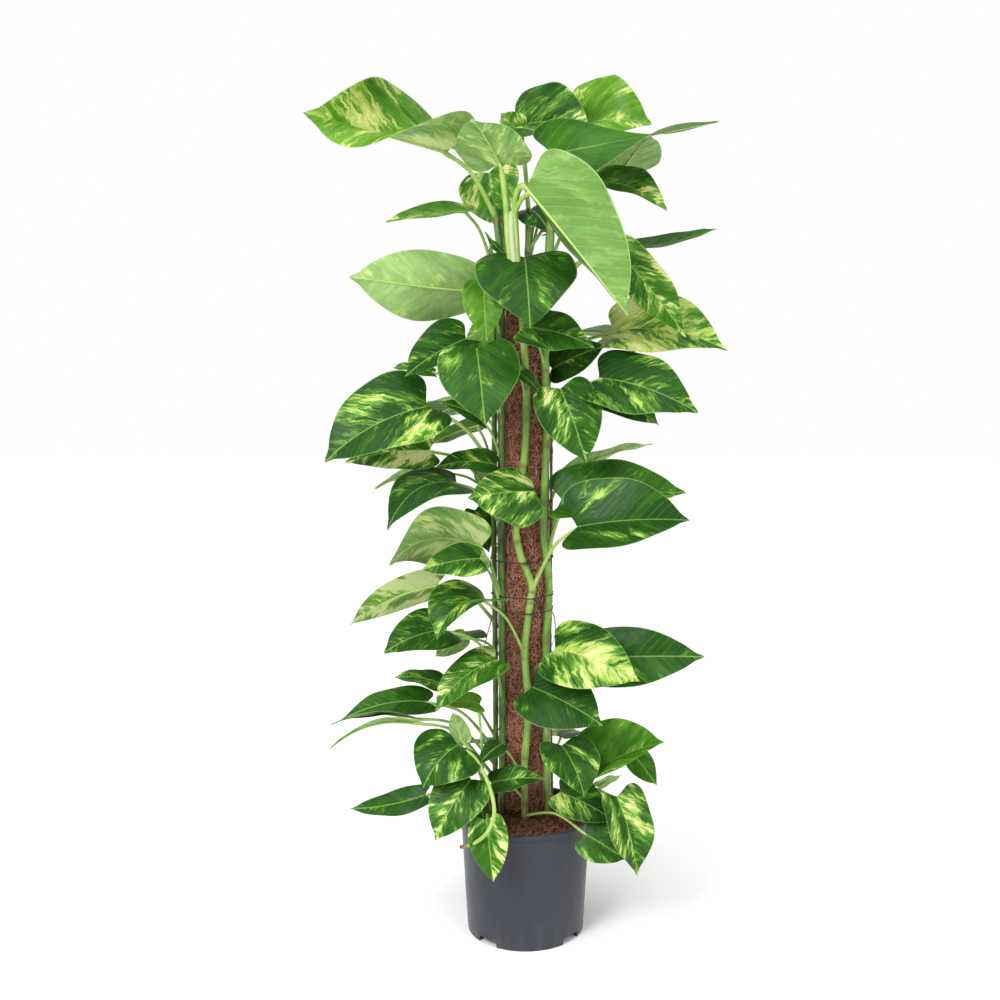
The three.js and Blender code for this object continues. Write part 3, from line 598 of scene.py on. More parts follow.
STEMS["stem_front"] = dict(radius=4.8, foot=(-1, -39), tint=0.6, route=[
    (-1, -37, 255), (4, -37, 330), (-1, -37, 416), (7, -37, 480), (9, -37, 500), (-6, -38, 540),
    (-14, -38, 585), (-6, -37, 640), (-1, -37, 680), (1, -37, 760), (-4, -37, 850), (-9, -42, 905),
    (-17, -52, 945), (-19, -55, 985),
], runners=[
    (0.85, 0.99, [(-31, -53, 1045), (-25, -55, 1005), (-22, -59, 955), (-17, -65, 909)]),
    (0.8, 0.99, [(1, -86, 1017), (-7, -74, 1018), (-13, -62, 1000), (-12, -62, 955), (-9, -67, 909)]),
    (1.7, 0.94, [(-18, -60, 990), (-17, -64, 955), (-13, -68, 908)]),
], leaves=[
    (982, (-32, -52, 1048), (-64, -132, 1092), (0.1, 0.5, 0.86), 1, 0.04, 6, (65, 50, 60)),
    (974, (1, -86, 1017), (123, -166, 858), (0.73, 0.63, 0.23), 0.74, 0.01, 46, (50, 35, 35)),
    (858, (-1, -54, 932), (6, -135, 843), (0, -0.72, 0.7), 1.08, 0.1, 8, (8, 2, 30)),
    (915, (-27, -42, 938), (-52, -50, 965), (-0.6, -0.5, 0.3), 0.35, 0.05, 35, (25, 20, 30)),
    (590, (12, -60, 631), (-74, -106, 629), (0, -0.85, 0.5), 0.9, 0.06, -14, (15, 55, 70)),
    (495, (67, -84, 588), (209, -111, 601), (0, -0.74, 0.67), 0.88, 0.06, 30, (5, 10, 5)),
    (405, (-52, -60, 484), (-114, -112, 446), (-0.6, -0.6, 0.5), 1.25, 0.25, 25, (12, 50, 30)),
    (740, (-9, -46, 786), (20, -49, 758), (0, -0.8, 0.5), 0.55, 0.1, 35, (20, 15, 20)),
    (215, (-33, -52, 284), (-63, -84, 266), (-0.1, -0.6, 0.8), 0.62, 0.1, 8, (5, 10, 10)),
    # This low blade lies under the others. Its dark green is partly its own and partly painted shade.
    (200, (-46, -62, 232), (26, -87, 248), (0, -0.6, 0.8), 0.55, 0.1, 12, (8, 15, 20)),
    (178, (80, -94, 174), (134, -106, 144), (0.1, -0.9, 0.4), 0.9, 0.1, 8, (20, 25, 30)),
])
STEMS["stem_right"] = dict(radius=4.8, foot=(31, -25), tint=0.45, route=[
    (29, -23, 300), (28, -23, 419), (32, -19, 500), (24, -29, 570), (24, -28, 611), (28, -24, 693),
    (26, -26, 800), (28, -23, 900), (32, -12, 980),
], leaves=[
    (970, (34, -40, 1062), (245, -48, 1101), (0, -3, 0.5), 0.46, 0, 5, (30, -60, 10), (0, 1.5, 6)),
    (890, (118, -42, 940), (206, -58, 831), (0.5, -0.85, 0.1), 0.5, 0.04, 8, (30, 80, 60)),
    (790, (-2, -59, 844), (88, -66, 818), (0.1, -0.8, 0.6), 0.7, 0.1, 10, (15, 30, 30)),
    (710, (96, -42, 778), (220, -88, 736), (0, -0.78, 0.62), 0.74, 0.1, 11, (2, 35, 40)),
    (690, (45, -57, 765), (78, -88, 672), (0.1, -0.93, 0.3), 0.84, 0.1, 8, (10, 45, 80)),
    (535, (51, -23, 611), (213, -39, 626), (0, -0.7, 0.72), 0.66, 0.05, 28, (30, 38, 50)),
    (350, (39, -60, 419), (148, -115, 391), (0.1, -0.85, 0.5), 0.78, 0.12, 8, (12, 62, 30)),
    (285, (10, -56, 365), (102, -99, 326), (0.1, -0.82, 0.55), 0.88, 0.1, 8, (5, 20, 30)),
])
STEMS["stem_rear_right"] = dict(radius=4.2, foot=(31, 25), tint=0.3, route=[
    (29, 23, 300), (30, 21, 500), (28, 24, 700), (30, 21, 880), (36, 22, 980),
], leaves=[
    (976, (70, 92, 1112), (168, 40, 1110), (-0.2, -0.85, 0.55), 1.28, 0.12, 28, (70, 55, 40)),
    (930, (96, 22, 1034), (182, -35, 992), (0, -0.6, 0.8), 0.64, 0.1, 25, (35, 60, 70)),
    (885, (150, 48, 950), (255, 18, 973), (0, -0.4, 0.9), 0.45, -0.04, 15, (30, 20, 30)),
    (770, (119, 28, 836), (265, -30, 813), (-0.1, -0.65, 0.75), 0.78, 0.12, 18, (25, 85, 20)),
    (735, (36, 10, 788), (108, -8, 820), (-0.2, -0.85, 0.45), 0.66, 0.06, 5, (10, 20, 30)),
    (685, (112, 0, 746), (178, -20, 714), (0, -0.75, 0.65), 0.62, 0.12, 12, (10, 30, 40)),
    (590, (56, 6, 646), (170, -18, 689), (0, 0.4, 0.9), 0.36, 0.06, 10, (75, 40, 60)),
    (340, (90, -20, 395), (241, -48, 405), (0, -0.9, 0.4), 0.55, 0.08, 8, (10, 2, 0)),
    (765, (70, 70, 835), (160, 140, 800), (0.3, 0.4, 0.85), 0.66, 0.12, 8, (20, 40, 50)),
    (670, (75, 75, 745), (150, 150, 715), (0.4, 0.4, 0.8), 0.66, 0.1, 10, (15, 50, 60)),
    (555, (75, 75, 625), (160, 140, 600), (0.3, 0.4, 0.85), 0.62, 0.12, 8, (30, 25, 30)),
    (330, (75, 70, 400), (155, 130, 375), (0.4, 0.4, 0.8), 0.64, 0.1, 8, (15, 55, 70)),
    (180, (50, 80, 250), (110, 150, 215), (0.3, 0.5, 0.8), 0.7, 0.12, 8, (20, 30, 40)),
])
STEMS["stem_rear"] = dict(radius=4.2, foot=(3, 39), tint=0.3, route=[
    (1, 36, 300), (4, 35, 500), (0, 36, 700), (3, 35, 900), (4, 33, 1000),
], leaves=[
    (1000, (-10, 80, 1112), (88, 18, 1099), (-0.3, -0.68, 0.67), 1.08, 0.1, 30, (12, 42, 60)),
    (945, (134, 60, 1057), (163, -10, 1088), (-0.1, 0.55, 0.8), 0.98, 0.06, 5, (70, 20, 30)),
    (990, (-9, 62, 1100), (-33, 42, 1125), (0.4, -0.7, -0.1), 1.15, 0.06, 5, (60, 70, 40)),
    (925, (55, 78, 1070), (99, 50, 1041), (0, -0.7, 0.6), 0.75, 0.08, 5, (80, 95, 90)),
    (930, (7, 46, 1000), (34, -10, 962), (0, -0.8, 0.5), 0.75, 0.1, 10, (5, 10, 10)),
    (940, (30, 85, 1040), (90, 172, 1010), (0.3, 0.3, 0.9), 0.68, 0.12, 8, (30, 40, 50)),
    (720, (-10, 92, 800), (-60, 182, 760), (-0.2, 0.4, 0.9), 0.66, 0.12, 8, (15, 30, 40)),
    (560, (-20, 95, 640), (-70, 185, 600), (-0.2, 0.4, 0.9), 0.64, 0.12, 8, (25, 55, 70)),
    (400, (12, 92, 470), (0, 182, 430), (0.9, 0.1, 0.4), 0.6, 0.1, 8, (15, 25, 30)),
    (250, (15, 92, 330), (60, 165, 300), (0.2, 0.4, 0.9), 0.68, 0.1, 8, (30, 40, 50)),
])
STEMS["shoot_left"] = dict(radius=3.2, foot=(-50, -36), tint=0.7, route=[
    (-58, -52, 235),
], runners=[
    (0.8, 0.9, [
        (-89, -80, 291), (-68, -98, 283), (-52, -118, 263), (-42, -136, 239), (-41, -143, 219),
        (-50, -143, 197), (-67, -132, 178), (-85, -112, 164),
    ]),
], leaves=[
    (228, (-62, -48, 339), (-109, -66, 345), (0, -0.5, 0.85), 0.75, 0.1, 10, (80, 30, 20)),
    (215, (-86, -54, 290), (-98, -60, 332), (0.2, 0.9, 0.2), 0.7, 0.05, 8, (75, 20, 40)),
    (232, (-90, -80, 293), (-134, -115, 247), (-0.35, -0.8, 0.5), 1.4, 0.18, 8, (8, 30, 40)),
    (205, (-72, -95, 251), (-118, -125, 178), (-0.3, -0.85, 0.4), 0.84, 0.14, 8, (15, 50, 60)),
    (190, (-136, -62, 216), (-236, -90, 208), (0, -0.75, 0.65), 0.36, -0.12, 10, (12, 18, 20)),
    (200, (-51, -122, 205), (-42, -135, 126), (0, -1, 0.15), 0.66, 0.05, 12, (30, 50, 70)),
    (185, (-62, -100, 228), (-52, -112, 188), (0.1, -0.9, 0.4), 0.5, 0.05, 8, (5, 10, 10)),
])
STEMS["shoot_right"] = dict(radius=3.2, foot=(50, -33), tint=0.7, route=[
    (60, -44, 235),
], leaves=[
    (225, (48, -82, 293), (76, -128, 240), (0.4, -0.7, 0.6), 1.15, 0.1, 16, (12, 25, 40)),
    (230, (98, -50, 249), (187, -62, 290), (-0.3, -0.62, 0.75), 1.3, 0.08, 50, (55, 15, 10)),
    (215, (147, -20, 262), (181, -30, 218), (0, -0.9, 0.3), 0.65, 0.08, 5, (45, 20, 20)),
    (210, (98, -60, 228), (130, -70, 247), (0, 0.7, 0.7), 0.6, 0.05, 5, (80, 20, 30)),
    (205, (122, -87, 224), (148, -110, 123), (0.6, -0.8, 0.2), 0.78, 0.06, 20, (15, 60, 50)),
    (195, (46, -77, 226), (119, -90, 190), (0, -0.7, 0.7), 0.72, 0.1, 8, (5, 15, 20)),
])
LOBE = 0.95
CUP = 0.25
RIPPLE = 0.03
BLADE_ROWS = 44
BLADE_COLUMNS = 20
BLADE_HALF = 0.4
MARGIN_HALF = 0.14
VEIN_PAIRS = 8
VEIN_SWELL = 0.3
MARGIN_WAVE = 1.3
LOOKS = ("tone", "streak", "cream", "seed", "across", "margin")
VEIN_LEAN = 0.85
VEIN_CURL = 0.55
VEIN_FAN = 0.3


def unit(rows):
    return rows / np.linalg.norm(rows, axis=-1, keepdims=True)


def leaf_surface(leaf, a, v, lift):
    """Points of a blade's middle surface: a along the midrib and v across it, both in blade lengths."""
    _, base, tip, face, _, arch, fold, _, tip_face = leaf
    base, tip = np.array(base, float), np.array(tip, float)
    length = np.linalg.norm(tip - base)
    along = (tip - base) / length
    share = np.clip(a, 0, 1)[:, None]
    face = np.array(face) * (1 - share) + np.array(tip_face) * share
    face = unit(face - (face @ along)[:, None] * along)
    slope = 4 * arch * (1 - 2 * share)
    bent = unit(along + face * slope)
    normal = unit(face - along * slope)
    side = unit(np.cross(along, face))
    a, v, lift = (part[:, None] for part in (a, v, lift))
    fold = math.radians(fold)
    ripple = RIPPLE * np.sin(9 * share + 5 * arch + np.where(v < 0, 2, 0)) * np.abs(v) * 2
    height = np.abs(v) * math.sin(fold) - CUP * v * v + ripple
    return (
        base
        + along * share * length
        + bent * (a - share) * length
        + face * 4 * arch * share * (1 - share) * length
        + side * v * math.cos(fold) * length
        + normal * (height * length + lift)
    )


def outline(s):
    """Where the margin stands at s: along the midrib, and half the width with its drawn-out tip."""
    along = s * (1 - 4.2 * LOBE * np.exp(-s / 0.13))
    half = 0.5 * np.sin(np.pi * np.clip(s, 0, 1) ** 0.66).clip(0) ** 0.92
    return along, half * (1 - 0.3 * np.exp(-(((s - 0.94) / 0.06) ** 2)))


def blade_grid():
    """Rows run round from the notch to the tip, columns from one margin to the other."""
    s = (np.arange(1, BLADE_ROWS) / BLADE_ROWS) ** 1.2
    c = np.linspace(-1, 1, BLADE_COLUMNS + 1)
    s, c = np.meshgrid(s, c, indexing="ij")
    return np.concatenate(([0], s.ravel(), [1])), np.concatenate(([0], c.ravel(), [0]))


def vein_of(a, v):
    """Where the side vein through a point leaves the midrib. In the lobes they fan out from 0."""
    reach = np.abs(v)
    foot = a - VEIN_LEAN * reach - VEIN_CURL * reach**2
    fan = VEIN_FAN * foot / np.maximum(np.hypot(a, v), 1e-6)
    return np.where(foot > 0, foot, np.maximum(fan, foot))


def blade_faces():
    wide = BLADE_COLUMNS + 1
    last = (BLADE_ROWS - 1) * wide + 1
    lower = last + 1

    def at(row, column):
        if row == 0:
            return 0
        return last if row == BLADE_ROWS else 1 + (row - 1) * wide + column

    upper_faces = []
    for row in range(BLADE_ROWS):
        for column in range(BLADE_COLUMNS):
            ring = [at(row, column), at(row, column + 1), at(row + 1, column + 1), at(row + 1, column)]
            upper_faces.append(tuple(dict.fromkeys(ring)))
    lower_faces = [tuple(lower + k for k in reversed(face)) for face in upper_faces]
    rim = []
    for row in range(BLADE_ROWS):
        for column, flip in ((0, False), (BLADE_COLUMNS, True)):
            near, far = at(row, column), at(row + 1, column)
            ring = (near, far, far + lower, near + lower)
            rim.append(ring[::-1] if flip else ring)
    return upper_faces, lower_faces + rim


def make_blade(leaf, seed):
    """A blade's points, its map along the veins, its unfolded map and its looks at each point."""
    _, base, tip, _, width, _, _, look, _ = leaf
    length = math.dist(base, tip)
    chance = np.random.RandomState(seed)
    s, c = blade_grid()
    reach = np.abs(c)
    foot = s**1.7
    margin, half = outline(s)
    a = foot + (margin - foot) * reach**1.15
    v = c * half * width
    phase, turns = chance.uniform(0, math.tau), chance.uniform(1.6, 2.6)
    vein = vein_of(a, v)
    swell = VEIN_SWELL * np.sin(math.tau * VEIN_PAIRS * vein) * reach * (1 - reach**3)
    wave = MARGIN_WAVE * reach**4 * np.sin(math.tau * turns * s + phase + 2 * np.sign(c))
    thick = BLADE_HALF + (MARGIN_HALF - BLADE_HALF) * reach**2
    points = np.vstack([leaf_surface(leaf, a, v, swell + wave + k * thick) for k in (1, -1)])
    across = np.abs(v) * length * MM
    look = (*(percent / 100 for percent in look), chance.uniform(0, 50))
    looks = [np.full(len(s), value) for value in look] + [across, reach]
    flat = np.stack([(a + 0.2) / 1.25, v / width + 0.5], axis=1)
    return points * MM, np.stack([vein, v], axis=1), flat, np.tile(np.stack(looks, 1), (2, 1))


def add_values(mesh, name, values):
    mesh.attributes.new(name, "FLOAT", "POINT").data.foreach_set("value", values)


def make_blades(name, leaves, first_seed, materials):
    """All blades of a stem as one mesh, with a map along the veins and an unfolded map of the faces."""
    upper_faces, under_faces = blade_faces()
    per_leaf = 2 * ((BLADE_ROWS - 1) * (BLADE_COLUMNS + 1) + 2)
    cells = math.ceil(math.sqrt(2 * len(leaves)))
    points, veins, flats, looks, faces, kinds = [], [], [], [], [], []
    for order, leaf in enumerate(leaves):
        place, vein, flat, look = make_blade(leaf, first_seed + order)
        points.append(place)
        looks.append(look)
        veins += [vein, vein]
        for layer in (0, 1):
            cell = 2 * order + layer
            corner = np.array([cell % cells, cell // cells])
            flats.append((corner + 0.04 + 0.92 * flat) / cells)
        shift = order * per_leaf
        for kind, group in enumerate((upper_faces, under_faces)):
            faces += [tuple(shift + k for k in face) for face in group]
            kinds += [kind] * len(group)
    places = np.clip(np.vstack(points), np.array(cad_low), np.array(cad_high))
    piece = plain_mesh(name, places, faces)
    mesh = piece.data
    corners = np.empty(len(mesh.loops), int)
    mesh.loops.foreach_get("vertex_index", corners)
    for title, values in (("vein_map", np.vstack(veins)), ("OFBake", np.vstack(flats))):
        mesh.uv_layers.new(name=title).data.foreach_set("uv", values[corners].ravel())
    values = np.vstack(looks)
    for k, title in enumerate(LOOKS):
        add_values(mesh, title, values[:, k].copy())
    for material in materials:
        mesh.materials.append(material)
    mesh.polygons.foreach_set("material_index", kinds)
    shade(piece, 55)
    return piece


def reading(tree, name):
    return add_node(tree, "ShaderNodeAttribute", attribute_name=name).outputs["Fac"]


def marbling(place):
    """The leaf's own coordinates, and how far each point is yellow and cream."""
    tree = place.id_data
    vein = add_node(tree, "ShaderNodeUVMap", uv_map="vein_map").outputs[0]
    split = add_node(tree, "ShaderNodeSeparateXYZ", {"Vector": vein}).outputs
    row = split["X"]
    reach = number("MULTIPLY", number("ABSOLUTE", split["Y"]), 2.2)
    half = number("SIGN", split["Y"])
    seed = number("MULTIPLY_ADD", half, 5.0, reading(tree, "seed"))
    wander = noise_at(place, 85, 3)
    strayed = number("MULTIPLY_ADD", wander, 0.13, row)

    def streaks(rows, length, detail=2):
        along = number("MULTIPLY", strayed, rows)
        spot = {"X": along, "Y": number("MULTIPLY", reach, length), "Z": seed}
        return noise_at(add_node(tree, "ShaderNodeCombineXYZ", spot).outputs[0], 1, detail)

    total = number("MULTIPLY", streaks(2.4, 1.4), 0.42)
    for rows, length, share in ((8, 1.8, 0.2), (22, 2.8, 0.22), (55, 6, 0.16)):
        total = number("MULTIPLY_ADD", streaks(rows, length), share, total)
    limit = number("MULTIPLY_ADD", reading(tree, "streak"), -0.15, 0.615)
    over = number("SUBTRACT", total, limit)
    light = span(over, -0.06, 0.01)
    yellow = span(over, -0.005, 0.035)
    beyond = number("MULTIPLY_ADD", reading(tree, "cream"), 0.07, over)
    cream = span(beyond, 0.06, 0.11)
    return row, reach, (light, yellow, cream), streaks(7, 1.5, 4)


def vein_lines(row, reach):
    """1 on the side veins, falling to 0 between them."""
    near = number("PINGPONG", number("MULTIPLY", row, VEIN_PAIRS * 1.6), 0.5)
    line = span(near, 0.11, 0.0)
    return number("MULTIPLY", line, span(reach, 1.0, 0.5))


def leaf_finish(name, greens, marbles, rib_color, roughness, contrast, veined):
    finish, shader, place = new_finish(name, greens[1], roughness, 0.09)
    tree = finish.node_tree
    row, reach, patches, cloud = marbling(place)
    tone = number("MULTIPLY_ADD", span(cloud, 0.3, 0.7), 0.4, reading(tree, "tone"))
    tone = number("SUBTRACT", tone, 0.2)
    green = toned(tone, 0.0, 0.5, greens[0], greens[1])
    tone = toned(tone, 0.5, 1.0, green, greens[2])
    for patch, color in zip(patches, marbles):
        tone = blend_color(number("MULTIPLY", patch, contrast), tone, color)
    lines = vein_lines(row, reach)
    tone = blend_color(number("MULTIPLY", lines, veined), tone, rib_color)
    tone = toned(reading(tree, "across"), 0.0012, 0.0004, tone, rib_color, 0.5)
    tone = toned(reading(tree, "margin"), 0.972, 0.99, tone, rib_color, 0.4)
    paint(shader, tone, span(cloud, 0.3, 0.7, roughness - 0.05, roughness + 0.08))
    swell = noise_at(place, 36, 2)
    grain = noise_at(place, 420, 2)
    relief = number("MULTIPLY_ADD", grain, 0.03, number("MULTIPLY_ADD", lines, -0.1, swell))
    bump(shader, relief, 0.4, 0.005)
    return finish


leaf_faces = (
    leaf_finish(
        "leaf_upper_face",
        greens=((0.013, 0.055, 0.007), (0.038, 0.148, 0.008), (0.165, 0.36, 0.026)),
        marbles=((0.12, 0.28, 0.035), (0.38, 0.49, 0.1), (0.6, 0.6, 0.27)),
        rib_color=(0.26, 0.46, 0.1),
        roughness=0.32,
        contrast=1.0,
        veined=0.07,
    ),
    leaf_finish(
        "leaf_under_face",
        greens=((0.045, 0.12, 0.025), (0.11, 0.23, 0.04), (0.38, 0.54, 0.22)),
        marbles=((0.2, 0.38, 0.08), (0.4, 0.54, 0.16), (0.62, 0.68, 0.32)),
        rib_color=(0.46, 0.6, 0.27),
        roughness=0.44,
        contrast=0.65,
        veined=0.12,
    ),
)

STEM_FOOT = (118, 160, 180)
STALK_RADIUS = 1.9
STALK_GROWTH = 0.012
SMALL_BLADE = 90
JOINT_SWELL = 0.14
BARE_JOINT_GAP = 52
POLE_REACH = 48
FIRST_ROOTS = 240
RUNNER_THINNER = 0.6


def stem_points(stem):
    return [(*stem["foot"], height) for height in STEM_FOOT] + stem["route"]


def stem_at(stem, height):
    points = np.array(stem_points(stem), float)
    return np.array([np.interp(height, points[:, 2], points[:, k]) for k in range(3)])


def smooth_path(points, steps):
    """A centripetal Catmull-Rom curve through the points, with this many steps from each to the next."""
    points = [np.array(p, float) for p in points]
    points = [2 * points[0] - points[1], *points, 2 * points[-1] - points[-2]]
    path = []
    for before, start, end, after in zip(points, points[1:], points[2:], points[3:]):
        gaps = [np.linalg.norm(q - p) ** 0.5 for p, q in ((before, start), (start, end), (end, after))]
        leave = (start - before) / gaps[0] - (end - before) / (gaps[0] + gaps[1]) + (end - start) / gaps[1]
        reach = (end - start) / gaps[1] - (after - start) / (gaps[1] + gaps[2]) + (after - end) / gaps[2]
        for k in range(steps):
            t = k / steps
            path.append(
                start * (2 * t**3 - 3 * t**2 + 1)
                + leave * gaps[1] * (t**3 - 2 * t**2 + t)
                + end * (3 * t**2 - 2 * t**3)
                + reach * gaps[1] * (t**3 - t**2)
            )
    path.append(points[-2])
    return np.array(path)


def tube_tree():
    """Round tubes along the lines of a mesh, as thick as each point's radius."""
    tree, given = new_tree("drawn_tubes", Sides="Int")
    lines = add_node(tree, "GeometryNodeMeshToCurve", {"Mesh": given["Geometry"]}).outputs[0]
    radius = add_node(tree, "GeometryNodeInputNamedAttribute", {"Name": "radius"}).outputs[0]
    ring = add_node(tree, "GeometryNodeCurvePrimitiveCircle", {"Resolution": given["Sides"]})
    ring.inputs["Radius"].default_value = 1.0
    drawn = {"Curve": lines, "Profile Curve": ring.outputs[0], "Scale": radius, "Fill Caps": True}
    tubes = add_node(tree, "GeometryNodeCurveToMesh", drawn).outputs[0]
    finish_geometry(tree, tubes, given["Material"])
    return tree


tube_maker = tube_tree()


def draw_tubes(name, lines, sides, material, looks=("tint", "brown")):
    """Tubes through lines of (points in mm, radii in mm, and one value or list for each look)."""
    points, edges, radii = [], [], []
    values = {key: [] for key in looks}
    for path, radius, *shades in lines:
        first = len(points)
        points += list(np.array(path) * MM)
        edges += [(first + k, first + k + 1) for k in range(len(path) - 1)]
        radii += list(np.broadcast_to(radius, len(path)) * MM)
        for key, value in zip(looks, shades):
            values[key] += list(np.broadcast_to(value, len(path)).astype(float))
    piece = plain_mesh(name, points, [], edges)
    for key, numbers in {"radius": radii, **values}.items():
        add_values(piece.data, key, numbers)
    run_tree(piece, tube_maker, Sides=sides, Material=material)
    shade(piece, 50)
    return piece


def stalk_lines(leaf, stem):
    """A leaf's stalk, flared where it clasps the stem and swollen below the blade, and its raised midrib."""
    node, base, tip = leaf[:3]
    length = math.dist(base, tip)
    stout = STALK_RADIUS + max(0, length - SMALL_BLADE) * STALK_GROWTH
    root = stem_at(stem, node)
    hold = leaf_surface(leaf, np.array([0.04]), np.zeros(1), np.array([-0.3]))[0]
    middle = (root + hold) / 2
    middle[2] += 0.16 * np.linalg.norm(hold - root)
    path = smooth_path([root, middle, hold], 14)
    t = np.linspace(0, 1, len(path))
    radius = stout * (0.92 + 0.55 * np.exp(-t / 0.12) + 0.18 * np.exp(-(((t - 0.9) / 0.06) ** 2)))
    radius = radius * np.clip((1.04 - t) / 0.08, 0.35, 1)
    tint = 0.65 + 0.3 * t
    a = np.linspace(0.0, 0.94, 22)
    thick = min(0.62 * stout, 1.5) * (1 - a) ** 0.8 + 0.28
    rib = leaf_surface(leaf, a, np.zeros(len(a)), 0.3 - thick)
    return [(path, radius, tint, 0.0), (rib, thick, 0.95, 0.0)]


def root_line(start, end, bow, thick, thin, *looks):
    """A short bowed root that thins out to its tip."""
    path = smooth_path([start, (start + end) / 2 + bow, end], 5)
    return (path, np.linspace(thick, thin, len(path)), *looks)


def root_nubs(stem, node, chance):
    """Short aerial roots that grow from a joint into the pole."""
    start = stem_at(stem, node - 4)
    toward = np.array([-start[0], -start[1], 0]) / math.hypot(start[0], start[1])
    nubs = []
    for _ in range(3):
        drift = np.array([chance.uniform(-6, 6), chance.uniform(-6, 6), chance.uniform(-12, 3)])
        end = start + toward * chance.uniform(9, 16) + drift
        nubs.append(root_line(start, end, drift * 0.3, 1.5, 0.6, 0.3, 1.0))
    return nubs


def vine_lines(stem, seed):
    """The stem itself, knotty at its joints, then its stalks, its aerial roots and its runners."""
    chance = np.random.RandomState(seed)
    path = smooth_path(stem_points(stem), 16)
    heights = path[:, 2]
    radius = np.full(len(path), float(stem["radius"]))
    ring = np.zeros(len(path))
    bare_joints = [262 + BARE_JOINT_GAP * k + chance.uniform(-14, 14) for k in range(13)]
    for joint in [leaf[0] for leaf in stem["leaves"]] + bare_joints:
        near = np.exp(-(((heights - joint) / 5) ** 2))
        radius += JOINT_SWELL * stem["radius"] * near
        ring = np.maximum(ring, np.exp(-(((heights - joint + 3) / 2.5) ** 2)))
    top = heights[-1]
    radius *= np.clip((top + 6 - heights) / 26, 0.25, 1) ** 0.5
    brown = np.clip(0.75 * ring + 0.8 * np.clip((230 - heights) / 60, 0, 1), 0, 1)
    lines = [(path, radius, stem["tint"], brown)]
    for leaf in stem["leaves"]:
        lines += stalk_lines(leaf, stem)
        if math.hypot(*stem_at(stem, leaf[0])[:2]) < POLE_REACH and leaf[0] > FIRST_ROOTS:
            lines += root_nubs(stem, leaf[0], chance)
    for tint, stub, route in stem.get("runners", []):
        path = smooth_path(route, 12)
        t = np.linspace(0, 1, len(path))
        radius = (stem["radius"] - RUNNER_THINNER) * np.clip(0.4 + 7 * t, 0, 1)
        lines.append((path, radius, tint, np.clip((t - stub) / 0.06, 0, 1)))
    return lines


def vine_finish():
    finish, shader, place = new_finish("green_vine", (0.14, 0.3, 0.05), 0.42, 0.4)
    tree = finish.node_tree
    stripes = noise_at(stretched(place, (1, 1, 0.12)), 320, 4, 0.6)
    cloud = noise_at(place, 40, 3)
    tint = number("MULTIPLY_ADD", span(cloud, 0.3, 0.7), 0.3, reading(tree, "tint"))
    tint = number("SUBTRACT", tint, 0.15)
    green = toned(tint, 0.0, 0.5, (0.035, 0.11, 0.022), (0.15, 0.31, 0.04))
    green = toned(tint, 0.5, 1.0, green, (0.38, 0.53, 0.13))
    green = toned(tint, 1.1, 1.6, green, (0.4, 0.48, 0.26))
    green = toned(stripes, 0.5, 0.75, green, (0.42, 0.6, 0.2), 0.35)
    bark = toned(stripes, 0.35, 0.65, (0.07, 0.035, 0.018), (0.26, 0.15, 0.08))
    aged = blend_color(reading(tree, "brown"), green, bark)
    paint(shader, aged, span(stripes, 0.3, 0.7, 0.36, 0.55))
    bump(shader, stripes, 0.35, 0.0006)
    return finish


vine_skin = vine_finish()
for order, (stem_name, stem) in enumerate(STEMS.items()):
    stem["leaves"] = [leaf if len(leaf) == 9 else (*leaf, leaf[3]) for leaf in stem["leaves"]]
    blades = make_blades(f"{stem_name}_blades", stem["leaves"], 20 * order, leaf_faces)
    vine = draw_tubes(f"{stem_name}_vine", vine_lines(stem, order), 12, vine_skin)
    for piece in (blades, vine):
        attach(piece, "root")
        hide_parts(stem_name)

# ---- old stem ----
# A bare woody vine from an earlier year, up the pole's right side, with rings where its leaves were and the
# stubs of dead roots.
OLD_STEM = [(37, -3, 118), (37, -3, 160), (37, -3, 190), (34, -3, 420), (35, -3, 600), (34, -3, 724)]
OLD_STEM_RADIUS = 2
OLD_JOINT_GAP = 47


def old_stem_lines():
    chance = np.random.RandomState(7)
    path = smooth_path(OLD_STEM, 60)
    heights = path[:, 2]
    joint = np.abs((heights / OLD_JOINT_GAP) % 1 - 0.5) * OLD_JOINT_GAP
    knots = 0.35 * np.exp(-((joint / 2.6) ** 2)) + 0.08 * np.sin(heights / 5) + 0.06 * np.sin(heights / 2.3)
    lines = [(path, OLD_STEM_RADIUS * (1 + knots))]
    for height in np.arange(212, 700, OLD_JOINT_GAP):
        start = np.array([np.interp(height, heights, path[:, k]) for k in range(3)])
        for turn in (-1, 0.4):
            end = start + (chance.uniform(-9, 2), turn * chance.uniform(6, 11), chance.uniform(-9, 4))
            lines.append(root_line(start, end, (1, 0, 1), 1.3, 0.5))
    return lines


dry_bark = two_tone(
    "dry_vine_bark",
    (0.22, 0.13, 0.07),
    roughness=0.85,
    specular=0.25,
    grain=(520, 5, 0.7),
    stretch=(1, 1, 0.25),
    limits=(0.35, 0.68),
    tones=((0.06, 0.03, 0.017), (0.34, 0.21, 0.12)),
    relief=(0.8, 0.0008),
)
old_stem = draw_tubes("old_stem_bark", old_stem_lines(), 12, dry_bark, ())
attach(old_stem, "root")
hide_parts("old_stem")

# ---- ties ----
# Plastic-coated garden wire, drawn tight round the stems and the pole at four heights. The ends are twisted
# together in front.
TIE_HEIGHTS = (462, 483, 532, 870)
TIE_RADIUS = 0.8
TIE_SLACK = 0.6
TIE_SLANT = 0.05
TIE_HOLD = 0.75
TWISTS = 5
CLIMBERS = 7


